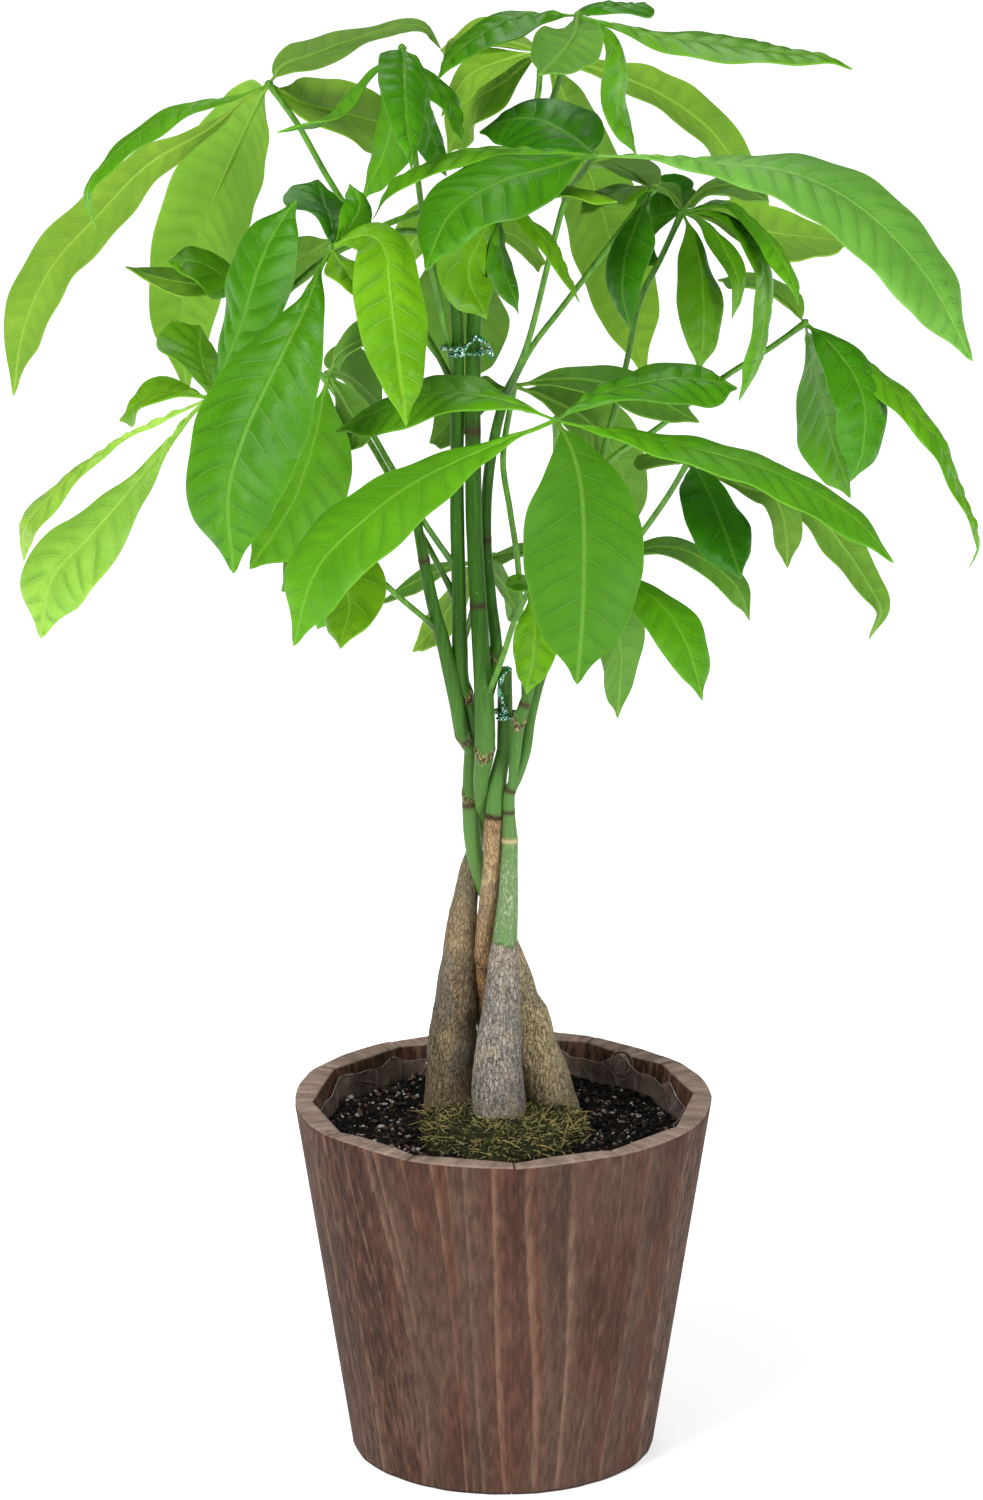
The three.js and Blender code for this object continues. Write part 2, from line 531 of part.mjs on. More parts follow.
// A leaflet: a thin blade, its halves bent up or down from its rib and its edges waved.
function leaflet(hub, blade, phase) {
  const { path, wide, roll, fold = BLADE.fold, fullest = BLADE.fullest } = blade;
  const curve = new THREE.CatmullRomCurve3([hub, ...path.map(sight)]);
  const length = curve.getLength();
  const stations = THREE.MathUtils.clamp(Math.round(2 + length / BLADE.step), ...BLADE.stations);
  const outward = path[path.length - 1][0] >= path[0][0] ? -1 : 1;
  const rise = Math.tan(THREE.MathUtils.degToRad(fold));
  const [height, run] = BLADE.wave;
  const rings = [];
  for (let i = 0; i <= stations; i += 1) {
    const t = i / stations;
    const centre = curve.getPointAt(t);
    const turn = THREE.MathUtils.degToRad(THREE.MathUtils.lerp(roll[0], roll[1], t));
    const { normal, side } = rollFrame(curve.getTangentAt(t), outward, turn);
    const share = bladeWidth(t, fullest);
    const half = Math.max(share * wide, i === 0 ? BLADE.root : BLADE.tip) / 2;
    const thick = (i === 0 ? BLADE.root : BLADE.thickness) / 2;
    const across = [1, 0, -1].map((place) => {
      const swell = height * share * Math.sin(run * t + phase + place);
      const lift = Math.abs(place) * (half * rise + swell);
      return centre.clone().addScaledVector(side, place * half).addScaledVector(normal, lift);
    });
    const upper = across.map((point) => point.clone().addScaledVector(normal, thick));
    const lower = across.map((point) => point.clone().addScaledVector(normal, -thick)).reverse();
    rings.push([...upper, ...lower]);
  }
  return solid(loft(rings, true));
}

function leaf({ hub, petiole, blades }) {
  const middle = sight(hub);
  const stalk = [middle, ...petiole.map(sight)];
  const knob = new THREE.IcosahedronGeometry(PETIOLE.hub, 0);
  knob.translate(middle.x, middle.y, middle.z);
  return joined([
    limb(stalk, stalk.map(() => PETIOLE.radius), PETIOLE.sides),
    solid(knob),
    ...blades.map((blade, i) => leaflet(middle, blade, BLADE.turn * i)),
  ]);
}

// ----------------------------------------------------------------------------- pot
function potRadius(foot, rim, z) {
  return THREE.MathUtils.lerp(foot, rim, z / POT.height);
}

const STAVE_ANGLE = (2 * Math.PI) / POT.staves;

function polar(radius, angle, z) {
  return new THREE.Vector3(radius * Math.cos(angle), radius * Math.sin(angle), z);
}

// A stave from one joint to the next, round outside and flat inside.
function stave(number) {
  const start = THREE.MathUtils.degToRad(POT.firstJoint) + number * STAVE_ANGLE;
  const ring = (z, ease) => {
    const outer = potRadius(POT.footRadius, POT.rimRadius, z) - ease;
    const inner = potRadius(POT.innerFootRadius, POT.innerRimRadius, z);
    const innerSlack = GAP / 2 / inner;
    const outerSlack = GAP / 2 / outer;
    const points = [
      polar(inner, start + STAVE_ANGLE - innerSlack, z),
      polar(inner, start + innerSlack, z),
    ];
    for (let k = 0; k <= POT.facets; k += 1) {
      const share = k / POT.facets;
      points.push(polar(outer, start + outerSlack + (STAVE_ANGLE - 2 * outerSlack) * share, z));
    }
    return points;
  };
  return solid(loft([
    ring(0, POT.footEase),
    ring(POT.footEase, 0),
    ring(POT.height - POT.rimEase, 0),
    ring(POT.height, POT.rimEase),
  ]));
}

// A ring round the staves' inner faces, drawn in by a clearance: a point at each joint
// and one in the middle of each face, each at the height that heightAt gives its angle.
function innerRing(heightAt, clearance) {
  return Array.from({ length: 2 * POT.staves }, (_, k) => {
    const angle = THREE.MathUtils.degToRad(POT.firstJoint) + (k * STAVE_ANGLE) / 2;
    const z = heightAt(angle);
    const corner = potRadius(POT.innerFootRadius, POT.innerRimRadius, z);
    const flat = corner * Math.cos(STAVE_ANGLE / 2) - clearance;
    return polar(k % 2 ? flat : flat / Math.cos(STAVE_ANGLE / 2), angle, z);
  });
}

function level(z) {
  return () => z;
}

function baseDisc() {
  return solid(loft([innerRing(level(0), GAP), innerRing(level(BASE.thickness), GAP)]));
}

function filmTop(angle) {
  return FILM.ripples.reduce((z, [count, height, phase]) => (
    z + height * Math.sin(count * angle + phase)
  ), FILM.top);
}

function liner() {
  const floor = BASE.thickness + GAP;
  const inside = GAP + FILM.thickness;
  return solid(loft([
    innerRing(level(floor), GAP),
    innerRing(filmTop, GAP),
    innerRing(filmTop, inside),
    innerRing(level(floor + FILM.thickness), inside),
  ]));
}

function soilHeight(x, y) {
  const [lump, lumpX, lumpY] = SOIL.lump;
  const [crumb, crumbX, crumbY] = SOIL.crumb;
  const swell = lump * Math.sin(x / lumpX) * Math.cos(y / lumpY);
  return SOIL.top + swell + crumb * Math.sin(x / crumbX + y / crumbY);
}

function soil(lift = 0) {
  const clearance = GAP + FILM.thickness + GAP;
  const floor = BASE.thickness + GAP + FILM.thickness + GAP;
  const edge = innerRing(level(SOIL.top - SOIL.dip), clearance);
  const surface = SOIL.rings.map((share) => edge.map((point) => {
    const x = point.x * share;
    const y = point.y * share;
    return new THREE.Vector3(x, y, soilHeight(x, y) + lift);
  }));
  edge.forEach((point) => point.setZ(point.z + lift));
  return solid(loft([innerRing(level(floor), clearance), edge, ...surface]));
}

// A ring of the moss at a share of its reach; its tufts fade towards its edge.
function mossRing(share, z) {
  const [tufts, height, turn] = MOSS.tufts;
  return Array.from({ length: MOSS.sides }, (_, k) => {
    const angle = (2 * Math.PI * k) / MOSS.sides;
    const reach = MOSS.lobes.reduce((sum, [count, part, phase]) => (
      sum + part * Math.sin(count * angle + phase)
    ), 1);
    const tuft = height * Math.sin(tufts * angle + turn * share) * Math.min(1, z - SOIL.top);
    return new THREE.Vector3(
      MOSS.centre[0] + MOSS.reach[0] * share * reach * Math.cos(angle),
      MOSS.centre[1] + MOSS.reach[1] * share * reach * Math.sin(angle),
      z + (z > SOIL.top ? tuft : 0),
    );
  });
}

function moss() {
  const mound = MOSS.rings.map((share) => (
    mossRing(share, SOIL.top + MOSS.lip + MOSS.height * (1 - share ** 3))
  ));
  return solid(loft([mossRing(1, SOIL.top - MOSS.depth), ...mound]));
}

// ---------------------------------------------------------------------------- ties
// A wire wound once and a little more round what it binds, its end twisted up beside it.
function tie({ centre, reach, tail }) {
  const middle = sight(centre);
  const coil = Array.from({ length: TIE.steps + 1 }, (_, k) => {
    const share = k / TIE.steps;
    const angle = -Math.PI / 2 + 2 * Math.PI * (TIE.turns * (share - 1) + 1);
    return middle.clone().add(new THREE.Vector3(
      reach[0] * Math.cos(angle),
      reach[1] * Math.sin(angle),
      TIE.rise * share,
    ));
  });
  const points = [...coil, ...tail.map(sight)];
  return limb(points, points.map(() => TIE.radius), TIE.sides);
}

// ------------------------------------------------------------------------ assembly
for (let i = 0; i < POT.staves; i += 1) {
  addPiece(`stave_${String(i + 1).padStart(2, '0')}`, stave(i), 'stave');
}
addPiece('base_disc', baseDisc());
addPiece('liner', liner());

// The trunks press on one another, so each gives way to those before it.
const grownTrunks = [];
for (const [name, limbs] of Object.entries(TRUNKS)) {
  const pressed = grownTrunks.reduce((wood, other) => wood.subtract(other), trunk(limbs));
  addPiece(name, largestBody(pressed), 'trunk');
  grownTrunks.push(trunk(limbs, GAP));
}
const allTrunks = joined(grownTrunks);
addPiece('soil', soil().subtract(allTrunks));
addPiece('moss', largestBody(moss().subtract(soil(GAP)).subtract(allTrunks)));

for (const [name, wire] of Object.entries(TIES)) {
  addPiece(name, tie(wire), 'tie');
}
for (const [name, parts] of Object.entries(LEAVES)) {
  addPiece(name, largestBody(leaf(parts).subtract(allTrunks)), 'leaf');
}

export default group;
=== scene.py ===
"""A potted money tree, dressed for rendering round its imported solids: braided trunks with
bark, palmate leaves with veins, a stave pot of burnt wood, its film, soil and moss."""

import math
import random

import bmesh
import bpy
from bpy.props import FloatProperty, FloatVectorProperty, IntProperty, PointerProperty
from mathutils import Matrix, Vector, noise


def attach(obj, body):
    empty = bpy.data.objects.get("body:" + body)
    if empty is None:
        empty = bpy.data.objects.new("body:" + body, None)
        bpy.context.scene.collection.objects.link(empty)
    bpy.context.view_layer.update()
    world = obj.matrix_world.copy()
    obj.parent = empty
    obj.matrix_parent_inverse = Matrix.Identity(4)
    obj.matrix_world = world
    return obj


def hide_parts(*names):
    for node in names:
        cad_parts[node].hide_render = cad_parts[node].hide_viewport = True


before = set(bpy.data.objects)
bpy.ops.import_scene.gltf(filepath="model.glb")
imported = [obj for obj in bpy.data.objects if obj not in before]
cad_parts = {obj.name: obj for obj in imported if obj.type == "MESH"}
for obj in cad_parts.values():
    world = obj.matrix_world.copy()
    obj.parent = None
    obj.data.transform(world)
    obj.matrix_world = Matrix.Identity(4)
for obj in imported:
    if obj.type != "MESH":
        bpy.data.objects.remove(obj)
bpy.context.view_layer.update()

bl_info = {
    "name": "Potted money tree",
    "version": (1, 0, 0),
    "blender": (4, 5, 0),
    "location": "View3D > Sidebar > Money tree",
    "description": "Leaves, bark, wood, film, soil and moss for a potted money tree",
    "category": "Object",
}

MM = 0.001
BODY = "root"

# The viewpoint that stems and leaves are placed from: a place is (column, row, depth), its
# column and row in a 983 by 1500 frame and its depth in mm behind the pot's axis.
EYE = Vector((-3.9, -2062.0, 842.2))
PITCH = math.radians(16.18)
FOCAL = 6500.0
FRAME = (983, 1500)
AHEAD = Vector((0.0, math.cos(PITCH), -math.sin(PITCH)))
ABOVE = Vector((0.0, math.sin(PITCH), math.cos(PITCH)))


def sight(place):
    """The point in mm of a place seen from the viewpoint."""
    column, row, depth = place
    line = AHEAD + ABOVE * ((FRAME[1] / 2 - row) / FOCAL)
    line.x += (column - FRAME[0] / 2) / FOCAL
    return EYE + line * ((depth - EYE.y) / line.y)


# ------------------------------------------------------------------ trunks, ties and leaves
# Each limb is a list of (column, row, depth, radius). The first limb of a trunk runs from its
# foot in the soil to its leading shoot.
TRUNKS = {
    "trunk_front": [
        [(500, 1190, -10, 9.2), (500, 1127, -11, 9.1), (497.5, 1074, -10.5, 8.6), (500, 1037, -10, 7.4),
         (502, 1001, -9, 6.1), (503.5, 957, -8, 4.9), (505, 940, -7.5, 4.2), (508, 904, -6, 3.4),
         (509, 870, -5, 3), (510, 840, -4.5, 2.6), (509, 812, -4, 2), (510, 792, -4, 1.9),
         (517, 776, -4, 2), (525, 752, -3, 1.9), (531, 715, -1, 1.8), (540, 680, 1, 1.7),
         (549, 655, 3, 1.6), (556, 615, 6, 1.5), (566, 542, 11, 1.4)],
        [(512, 788, -4, 1.5), (515, 758, -6.5, 1.8), (519, 722, -8, 2.1), (526, 700, -8, 1.8),
         (533, 676, -8, 1.5)],
    ],
    "trunk_back": [
        [(512, 1185, 22, 8.8), (510, 1118, 21, 8.8), (504, 1074, 18, 8), (496, 1037, 13, 6.2),
         (490, 1000, 6, 4.4), (486, 970, 1, 3.4), (484, 940, -1, 3.1), (488, 904, -2, 3),
         (492, 870, -2.5, 3), (493, 840, -2.5, 3.2), (495, 815, -2, 3.2), (498, 780, -1, 3),
         (504, 750, 0, 2.4), (505, 735, 0.5, 2.6), (505, 700, 0.5, 2.5), (505, 668, 0.5, 2.3)],
    ],
    "trunk_right": [
        [(562, 1185, 9, 9.5), (553, 1118, 7, 9.4), (543.5, 1074, 6.5, 8.6), (532.5, 1042, 6.5, 7.9),
         (528, 1018, 8, 7.3), (519.5, 1001, 9, 6.8), (512, 970, 9.5, 6), (502, 940, 8.5, 4.9),
         (493, 904, 6.5, 3.6), (480, 872, 3.5, 3), (473, 840, 2.5, 2.9), (470.5, 805, 3.5, 2.8),
         (470, 780, 4.5, 2.5), (471, 752, 4, 2.3), (473, 725, 3.5, 2), (469, 702, 3, 2.4),
         (462, 685, 2.5, 2.7), (460, 650, 2, 2.6), (459, 600, 2, 2.4), (457, 500, 2.5, 2.3),
         (457.5, 400, 3, 2.2), (457, 320, 2, 2), (448, 255, 1, 1.6)],
        [(472, 752, 2, 2), (463, 735, 1.5, 2.6), (456, 700, 0.5, 2.5), (445, 650, 0, 2.4),
         (432, 600, -1, 2.1), (424, 560, -1, 1.9), (416, 515, 0, 1.5), (411, 470, 1, 1.2)],
    ],
    "trunk_left": [
        [(444, 1185, 9, 9.7), (451, 1118, 7, 9.7), (452, 1074, 6, 8.9), (453, 1037, 5, 8.2),
         (456, 1000, 4.5, 7.3), (459, 965, 4, 6.3), (462, 925, 4.5, 5.2), (466, 895, 6.5, 4.1),
         (470, 868, 9.5, 3.2), (476, 845, 9, 2.6), (481, 818, 5, 2.2), (481, 800, 0.5, 2.2),
         (481, 780, -2.5, 2.6), (484, 757, -4.5, 3.2), (485, 735, -4.5, 3.5), (484, 700, -3.5, 3.3),
         (481, 650, -2, 2.9), (478, 600, -1, 2.8), (474, 520, 0.5, 2.7), (473, 440, 1.5, 2.6),
         (474, 320, 1.5, 2.4), (478, 260, 1.5, 2), (486, 205, 2, 1.6)],
        [(486, 705, -1.5, 1.8), (496, 656, 2, 2.1), (491, 600, 5.5, 1.9), (486, 540, 7, 1.8),
         (488, 480, 6, 1.8), (496, 430, 1, 1.7), (506, 392, -2, 1.6)],
    ],
}

# Where the bark of each limb gives way to green skin (a row), and its rings and scars as
# (row, half height in rows, kind).
NO_BARK = 1200
SKINS = {
    "trunk_front": [
        (943, [(840, 2, "pale"), (812, 2.5, "dark"), (790, 2.5, "dark"), (895, 52, "frost")]),
        (NO_BARK, [(722, 7, "crust"), (704, 3, "dark")]),
    ],
    "trunk_back": [(816, [(816, 3, "dark"), (872, 15, "flake"), (960, 8, "crust")])],
    "trunk_right": [
        (897, [(805, 3, "dark"), (797, 6, "crust"), (694, 7, "crust")]),
        (NO_BARK, [(737, 4, "crust"), (560, 3, "dark")]),
    ],
    "trunk_left": [
        (858, [(752, 7, "crust"), (604, 3, "dark"), (430, 3, "dark")]),
        (NO_BARK, [(655, 4, "crust"), (540, 3, "dark")]),
    ],
}

# Each tie binds what passes its centre, at the given reach to either side and to the front,
# and ends in a tail.
TIES = {
    "tie_lower": ((505, 716, 0.5), (3.6, 3.6),
                  [(502, 700, -3.6), (499, 688, -3.2), (503, 676, -3.4), (510, 667, -3.2)]),
    "tie_upper": ((464, 352, 1.9), (7.4, 4.9), [(476, 338, -3.2), (488, 345, -3.6), (492, 358, -3.8)]),
}


def blade(wide, root_roll, tip_roll, tone, *path, fullest=0.55):
    """One leaflet: its width in mm, its roll in degrees at root and tip, its tone, its path
    from the hub, and where along it the blade is fullest."""
    rolls = math.radians(root_roll), math.radians(tip_roll)
    return {"wide": wide, "rolls": rolls, "tone": tone, "path": path, "fullest": fullest}


# Each leaf has a stalk, from its hub down to the axis of its stem, and leaflets from the hub
# to their tips. The roll turns a leaflet's upper face from the viewer upwards.
LEAVES = (
    ([(269, 84, 25), (298, 125, 24), (328, 178, 22), (388, 272, 15), (435, 350, 8), (457, 392, 3)],
     blade(14, 72, 58, "leaf", (235, 98, 22), (190, 108, 15), (145, 130, 7), (112, 156, 0), (88, 190, -5),
           (97, 229, -5)),
     blade(34, 55, 50, "pale", (245, 100, 28), (210, 130, 32), (150, 165, 36), (100, 215, 38),
           (53, 267, 38), (24, 333, 36), (14, 395, 34), fullest=0.6),
     blade(38, 40, 20, "pale", (256, 110, 46), (225, 175, 66), (195, 250, 78), (183, 310, 82),
           (187, 395, 82), fullest=0.42),
     blade(26, 60, 70, "dusky", (285, 66, 28), (310, 57, 31), (350, 42, 38), (400, 26, 45), (425, 28, 48),
           (440, 48, 50), fullest=0.32),
     blade(44, 50, 60, "pale", (300, 103, 32), (340, 113, 41), (385, 125, 50), (415, 140, 56))),
    ([(402, 48, -15), (412, 130, -8), (424, 225, -3), (433, 272, -2), (443, 320, 0), (457, 382, 3)],
     blade(16, 78, 82, "fresh", (375, 70, -22), (350, 97, -30), (325, 118, -38), (278, 132, -48)),
     blade(19, 25, 50, "green", (405, 75, -38), (405, 110, -55), (411, 170, -68), fullest=0.35),
     blade(22, 70, 72, "green", (430, 80, -18), (450, 105, -20), (462, 140, -22)),
     blade(24, 60, 62, "green", (413, 85, -2), (427, 125, 5), (446, 175, 8)),
     blade(26, 58, 55, "fresh", (396, 100, -1), (385, 150, 8), (363, 199, 12))),
    ([(578, 15, 5), (570, 45, 8), (560, 78, 11), (545, 115, 13), (515, 165, 10), (486, 210, 2)],
     blade(26, 72, 62, "green", (540, 17, 0), (510, 21, -6), (480, 35, -14), (455, 55, -20),
           (438, 79, -24)),
     blade(24, 60, 70, "green", (600, 10, 20), (620, 7, 36), (640, 6, 52)),
     blade(32, 70, 72, "leaf", (612, 25, 4), (640, 32, 3), (700, 42, 2), (760, 50, 2), (830, 59, 4),
           (852, 69, 5)),
     blade(21, 10, 20, "dusky", (574, 36, -24), (560, 54, -42), (540, 75, -60)),
     blade(24, 62, 74, "leaf", (606, 32, -2), (620, 68, -8), (618, 105, -12), (636, 155, -14))),
    ([(595, 155, -45), (580, 176, -32), (566, 198, -23), (552, 248, -19), (527, 345, -11), (507, 392, -2)],
     blade(30, 35, 50, "deep", (560, 130, -30), (520, 118, -16), (480, 132, -6), fullest=0.38),
     blade(38, 45, 50, "green", (560, 165, -54), (500, 182, -66), (450, 215, -76), (426, 270, -82)),
     blade(42, 68, 45, "sheen", (640, 157, -48), (700, 162, -52), (800, 176, -60), (870, 215, -66),
           (925, 275, -70), (972, 360, -72), fullest=0.62),
     blade(22, 76, 80, "leaf", (550, 152, -42), (480, 153, -42), (430, 165, -42), (395, 183, -42),
           (374, 218, -42))),
    ([(540, 52, 55), (538, 95, 48), (520, 150, 32), (495, 210, 14), (478, 262, 1.5)],
     blade(25, 60, 64, "pale", (510, 60, 56), (470, 76, 58), (442, 116, 58)),
     blade(31, 50, 54, "pale", (508, 80, 66), (473, 104, 76), (448, 152, 82)),
     blade(26, 60, 66, "pale", (505, 42, 70), (470, 36, 82), (441, 50, 92)),
     blade(34, 60, 55, "pale", (570, 62, 60), (620, 78, 66), (660, 95, 72), (713, 134, 82), (747, 188, 88),
           (772, 245, 90)),
     blade(34, 40, 35, "pale", (560, 90, 74), (580, 150, 88), (604, 220, 94), (624, 290, 96),
           (645, 378, 96))),
    ([(331, 248, -62), (375, 229, -52), (420, 213, -38), (440, 220, -18), (447, 257, 1)],
     blade(40, 35, 25, "green", (318, 275, -70), (308, 305, -78), (288, 345, -86), (262, 395, -93),
           (243, 440, -97), (229, 492, -100), (234, 572, -102), fullest=0.58),
     blade(24, 30, 25, "lime", (352, 238, -65), (372, 236, -69), (385, 250, -74), (390, 285, -82),
           (396, 340, -92), (401, 385, -99), (406, 425, -105), fullest=0.45),
     blade(14, 30, 40, "lime", (343, 266, -72), (354, 282, -78), (362, 300, -82)),
     blade(28, 40, 40, "deep", (332, 225, -46), (325, 203, -27), (318, 180, -11)),
     blade(12, 30, 40, "leaf", (350, 225, -52), (360, 205, -42), (349, 184, -34))),
    ([(556, 420, -78), (556, 470, -70), (556, 540, -46), (550, 615, -20), (533, 678, -8)],
     blade(32, 66, 62, "leaf", (500, 400, -76), (440, 393, -68), (390, 406, -60), (335, 432, -54)),
     blade(38, 52, 48, "fresh", (520, 435, -86), (470, 455, -95), (420, 480, -104), (370, 515, -111),
           (320, 565, -116), (294, 645, -118), fullest=0.64),
     blade(38, 12, 8, "rich", (570, 445, -88), (580, 480, -97), (584, 540, -108), (582, 620, -118),
           (577, 683, -121), fullest=0.5),
     blade(36, 72, 64, "fresh", (600, 430, -80), (650, 440, -82), (700, 450, -84), (750, 464, -85),
           (800, 485, -86), (850, 515, -86), (893, 562, -86)),
     blade(30, 62, 60, "green", (590, 400, -74), (630, 386, -68), (670, 379, -62), (700, 380, -57),
           (737, 388, -50))),
    ([(805, 323, 45), (770, 348, 47), (720, 380, 42), (655, 430, 34), (608, 462, 25), (584, 508, 17),
      (566, 548, 11)],
     blade(30, 50, 48, "green", (831, 345, 38), (854, 376, 32), (865, 410, 27), (862, 447, 24),
           (850, 480, 22), fullest=0.48),
     blade(32, 55, 50, "leaf", (813, 365, 60), (824, 410, 68), (836, 455, 72), (850, 497, 74)),
     blade(23, 68, 74, "leaf", (850, 352, 44), (888, 385, 43), (915, 412, 42), (940, 448, 42),
           (960, 495, 41), (975, 530, 40), (977, 550, 40), (968, 567, 39), fullest=0.38),
     blade(24, 68, 68, "pale", (778, 297, 63), (748, 281, 74), (718, 280, 80))),
    ([(652, 190, -12), (600, 258, -8), (560, 310, -3), (530, 350, 1), (502, 406, -0.5)],
     blade(20, 50, 55, "deep", (637, 225, -24), (626, 258, -34), (623, 292, -40), (633, 330, -43)),
     blade(22, 66, 66, "lime", (622, 190, -13), (600, 197, -14), (580, 214, -15)),
     blade(24, 50, 60, "dusky", (635, 175, 6), (615, 165, 22), (598, 162, 36))),
    ([(682, 212, 36), (660, 260, 36), (640, 300, 36), (625, 370, 34), (604, 450, 33), (586, 530, 24),
      (559, 598, 7.5)],
     blade(24, 68, 66, "dusky", (705, 192, 32), (735, 186, 28), (769, 202, 24)),
     blade(26, 55, 58, "leaf", (694, 240, 26), (701, 275, 18), (703, 320, 12), (698, 372, 8)),
     blade(15, 66, 60, "leaf", (708, 226, 30), (727, 255, 24), (738, 285, 18), (731, 318, 14)),
     blade(21, 70, 66, "leaf", (716, 214, 38), (745, 235, 38), (762, 270, 37), (764, 320, 31),
           (756, 360, 27), (738, 400, 24)),
     blade(16, 66, 66, "leaf", (725, 205, 40), (762, 232, 37), (785, 265, 30), (798, 304, 22)),
     blade(32, 55, 58, "pale", (715, 218, 50), (765, 232, 60), (810, 238, 68), (855, 242, 74)),
     blade(34, 35, 45, "deep", (668, 214, 48), (652, 220, 58), (636, 238, 64)),
     blade(22, 60, 60, "dusky", (672, 196, 46), (660, 188, 54), (644, 184, 60))),
    ([(342, 545, -30), (375, 575, -20), (405, 602, -9), (434, 626, -1)],
     blade(28, 40, 45, "lime", (345, 575, -44), (350, 605, -56), (341, 648, -64)),
     blade(20, 50, 50, "fresh", (333, 570, -32), (326, 598, -34), (318, 628, -34)),
     blade(22, 55, 55, "fresh", (320, 548, -22), (300, 562, -14), (282, 590, -8))),
    ([(209, 398, -38), (235, 372, -42), (262, 322, -44), (300, 280, -44), (335, 253, -45), (378, 236, -38),
      (418, 232, -22), (441, 256, -8), (454, 302, 1.5)],
     blade(22, 66, 62, "mint", (170, 417, -34), (130, 436, -28), (90, 463, -24), (52, 494, -22),
           (26, 526, -21), (24, 560, -20), fullest=0.82),
     blade(34.5, 48, 42, "mint", (187, 420, -46), (160, 455, -54), (125, 496, -62), (88, 538, -67),
           (52, 580, -70), (41, 637, -72), fullest=0.72),
     blade(20, 64, 60, "lime", (180, 392, -30), (150, 396, -20), (120, 420, -12)),
     blade(30, 45, 45, "leaf", (206, 375, -20), (200, 350, -2), (200, 326, 14)),
     blade(29, 45, 40, "green", (226, 365, -50), (245, 315, -56), (258, 270, -55), (272, 238, -52),
           (297, 200, -46))),
    ([(240, 297, 42), (285, 336, 36), (325, 380, 26), (362, 430, 17), (396, 488, 11), (428, 546, 6),
      (459, 604, 2)],
     blade(20, 64, 68, "pale", (205, 287, 40), (165, 280, 38), (125, 267, 36)),
     blade(28, 55, 60, "leaf", (222, 275, 38), (198, 262, 36), (168, 262, 36)),
     blade(30, 50, 55, "dusky", (265, 280, 44), (295, 262, 46), (332, 240, 48))),
    ([(688, 462, -22), (668, 496, -18), (642, 533, -14), (600, 590, -5), (549, 655, 3)],
     blade(28, 42, 45, "deep", (703, 482, -34), (715, 508, -44), (728, 542, -52), (740, 578, -56)),
     blade(22, 62, 58, "dusky", (730, 476, -18), (775, 490, -14), (815, 515, -10), (845, 550, -8),
           (870, 588, -8), (880, 610, -8), (868, 638, -8)),
     blade(17, 66, 40, "dusky", (745, 488, -32), (772, 496, -36), (782, 515, -39), (786, 540, -42),
           (787, 567, -44), fullest=0.7),
     blade(18, 55, 60, "dusky", (672, 460, -14), (655, 458, -8), (637, 456, -2))),
    ([(605, 570, 16), (582, 600, 13), (553, 638, 4.5)],
     blade(28, 70, 68, "dusky", (640, 551, 12), (680, 550, 8), (712, 566, 5), (737, 588, 3), (749, 620, 2)),
     blade(24, 52, 50, "fresh", (630, 583, 4), (662, 606, -6), (685, 640, -13), (702, 700, -18)),
     blade(25, 50, 55, "dusky", (612, 605, 28), (620, 655, 36), (617, 717, 40))),
    ([(529, 590, -24), (514, 622, -18), (503, 656, -11), (486, 700, -3.5)],
     blade(14.5, 15, 20, "lime", (534, 622, -34), (533, 655, -41), (527, 693, -45)),
     blade(9, 30, 30, "lime", (522, 584, -12), (514, 580, -8), (507, 578, -4))),
    ([(478, 562, 62), (476, 590, 48), (470, 620, 26), (460, 655, 2)],
     blade(20, 74, 74, "dusky", (440, 572, 66), (405, 588, 70), (377, 605, 72)),
     blade(24, 60, 60, "pale", (462, 590, 74), (440, 622, 84), (413, 651, 90)),
     blade(20, 76, 76, "dusky", (500, 556, 60), (525, 553, 57), (555, 560, 54)),
     blade(22, 64, 64, "dusky", (494, 575, 74), (505, 590, 86), (520, 620, 94))),
    ([(328, 374, 8), (360, 414, 6), (392, 468, 3), (424, 522, 1), (459, 572, 2)],
     blade(36, 38, 36, "fresh", (322, 405, 0), (312, 450, -9), (296, 495, -15), (273, 535, -18),
           (250, 568, -20)),
     blade(26, 35, 45, "dusky", (346, 376, 28), (365, 390, 42), (384, 410, 52)),
     blade(20, 50, 50, "dusky", (340, 354, -4), (356, 343, -14), (375, 339, -22), fullest=0.7),
     blade(18, 45, 50, "dusky", (346, 402, 0), (356, 428, -6), (342, 454, -10))),
    ([(500, 200, -32), (492, 225, -22), (485, 250, -10), (478, 275, 1.5)],
     blade(25, 30, 50, "lime", (482, 235, -42), (468, 272, -50), (486, 318, -54)),
     blade(16, 62, 66, "green", (498, 232, -36), (503, 268, -38), (518, 313, -38)),
     blade(18, 74, 74, "lime", (520, 212, -40), (548, 245, -44), (579, 302, -46)),
     blade(20, 72, 72, "lime", (535, 195, -41), (575, 191, -46), (617, 202, -49))),
    ([(514, 386, 10), (503, 460, 4), (510, 510, 0), (518, 565, -3), (522, 640, -6), (526, 700, -8)],
     blade(27, 58, 58, "dusky", (545, 381, 11), (590, 381, 12), (650, 397, 12), (699, 422, 12)),
     blade(28, 55, 55, "dusky", (492, 395, 14), (462, 412, 22), (430, 442, 28)),
     blade(30, 50, 45, "dusky", (545, 398, 22), (590, 424, 38), (620, 470, 46), (628, 545, 50))),
    ([(474, 232, 26), (476, 252, 16), (477, 275, 1.5)],
     blade(34, 25, 25, "dusky", (466, 265, 38), (462, 320, 48), (465, 385, 54)),
     blade(30, 50, 50, "pale", (445, 228, 38), (415, 240, 50), (392, 275, 60)),
     blade(24, 50, 50, "pale", (498, 232, 40), (520, 240, 54), (545, 262, 66))),
)


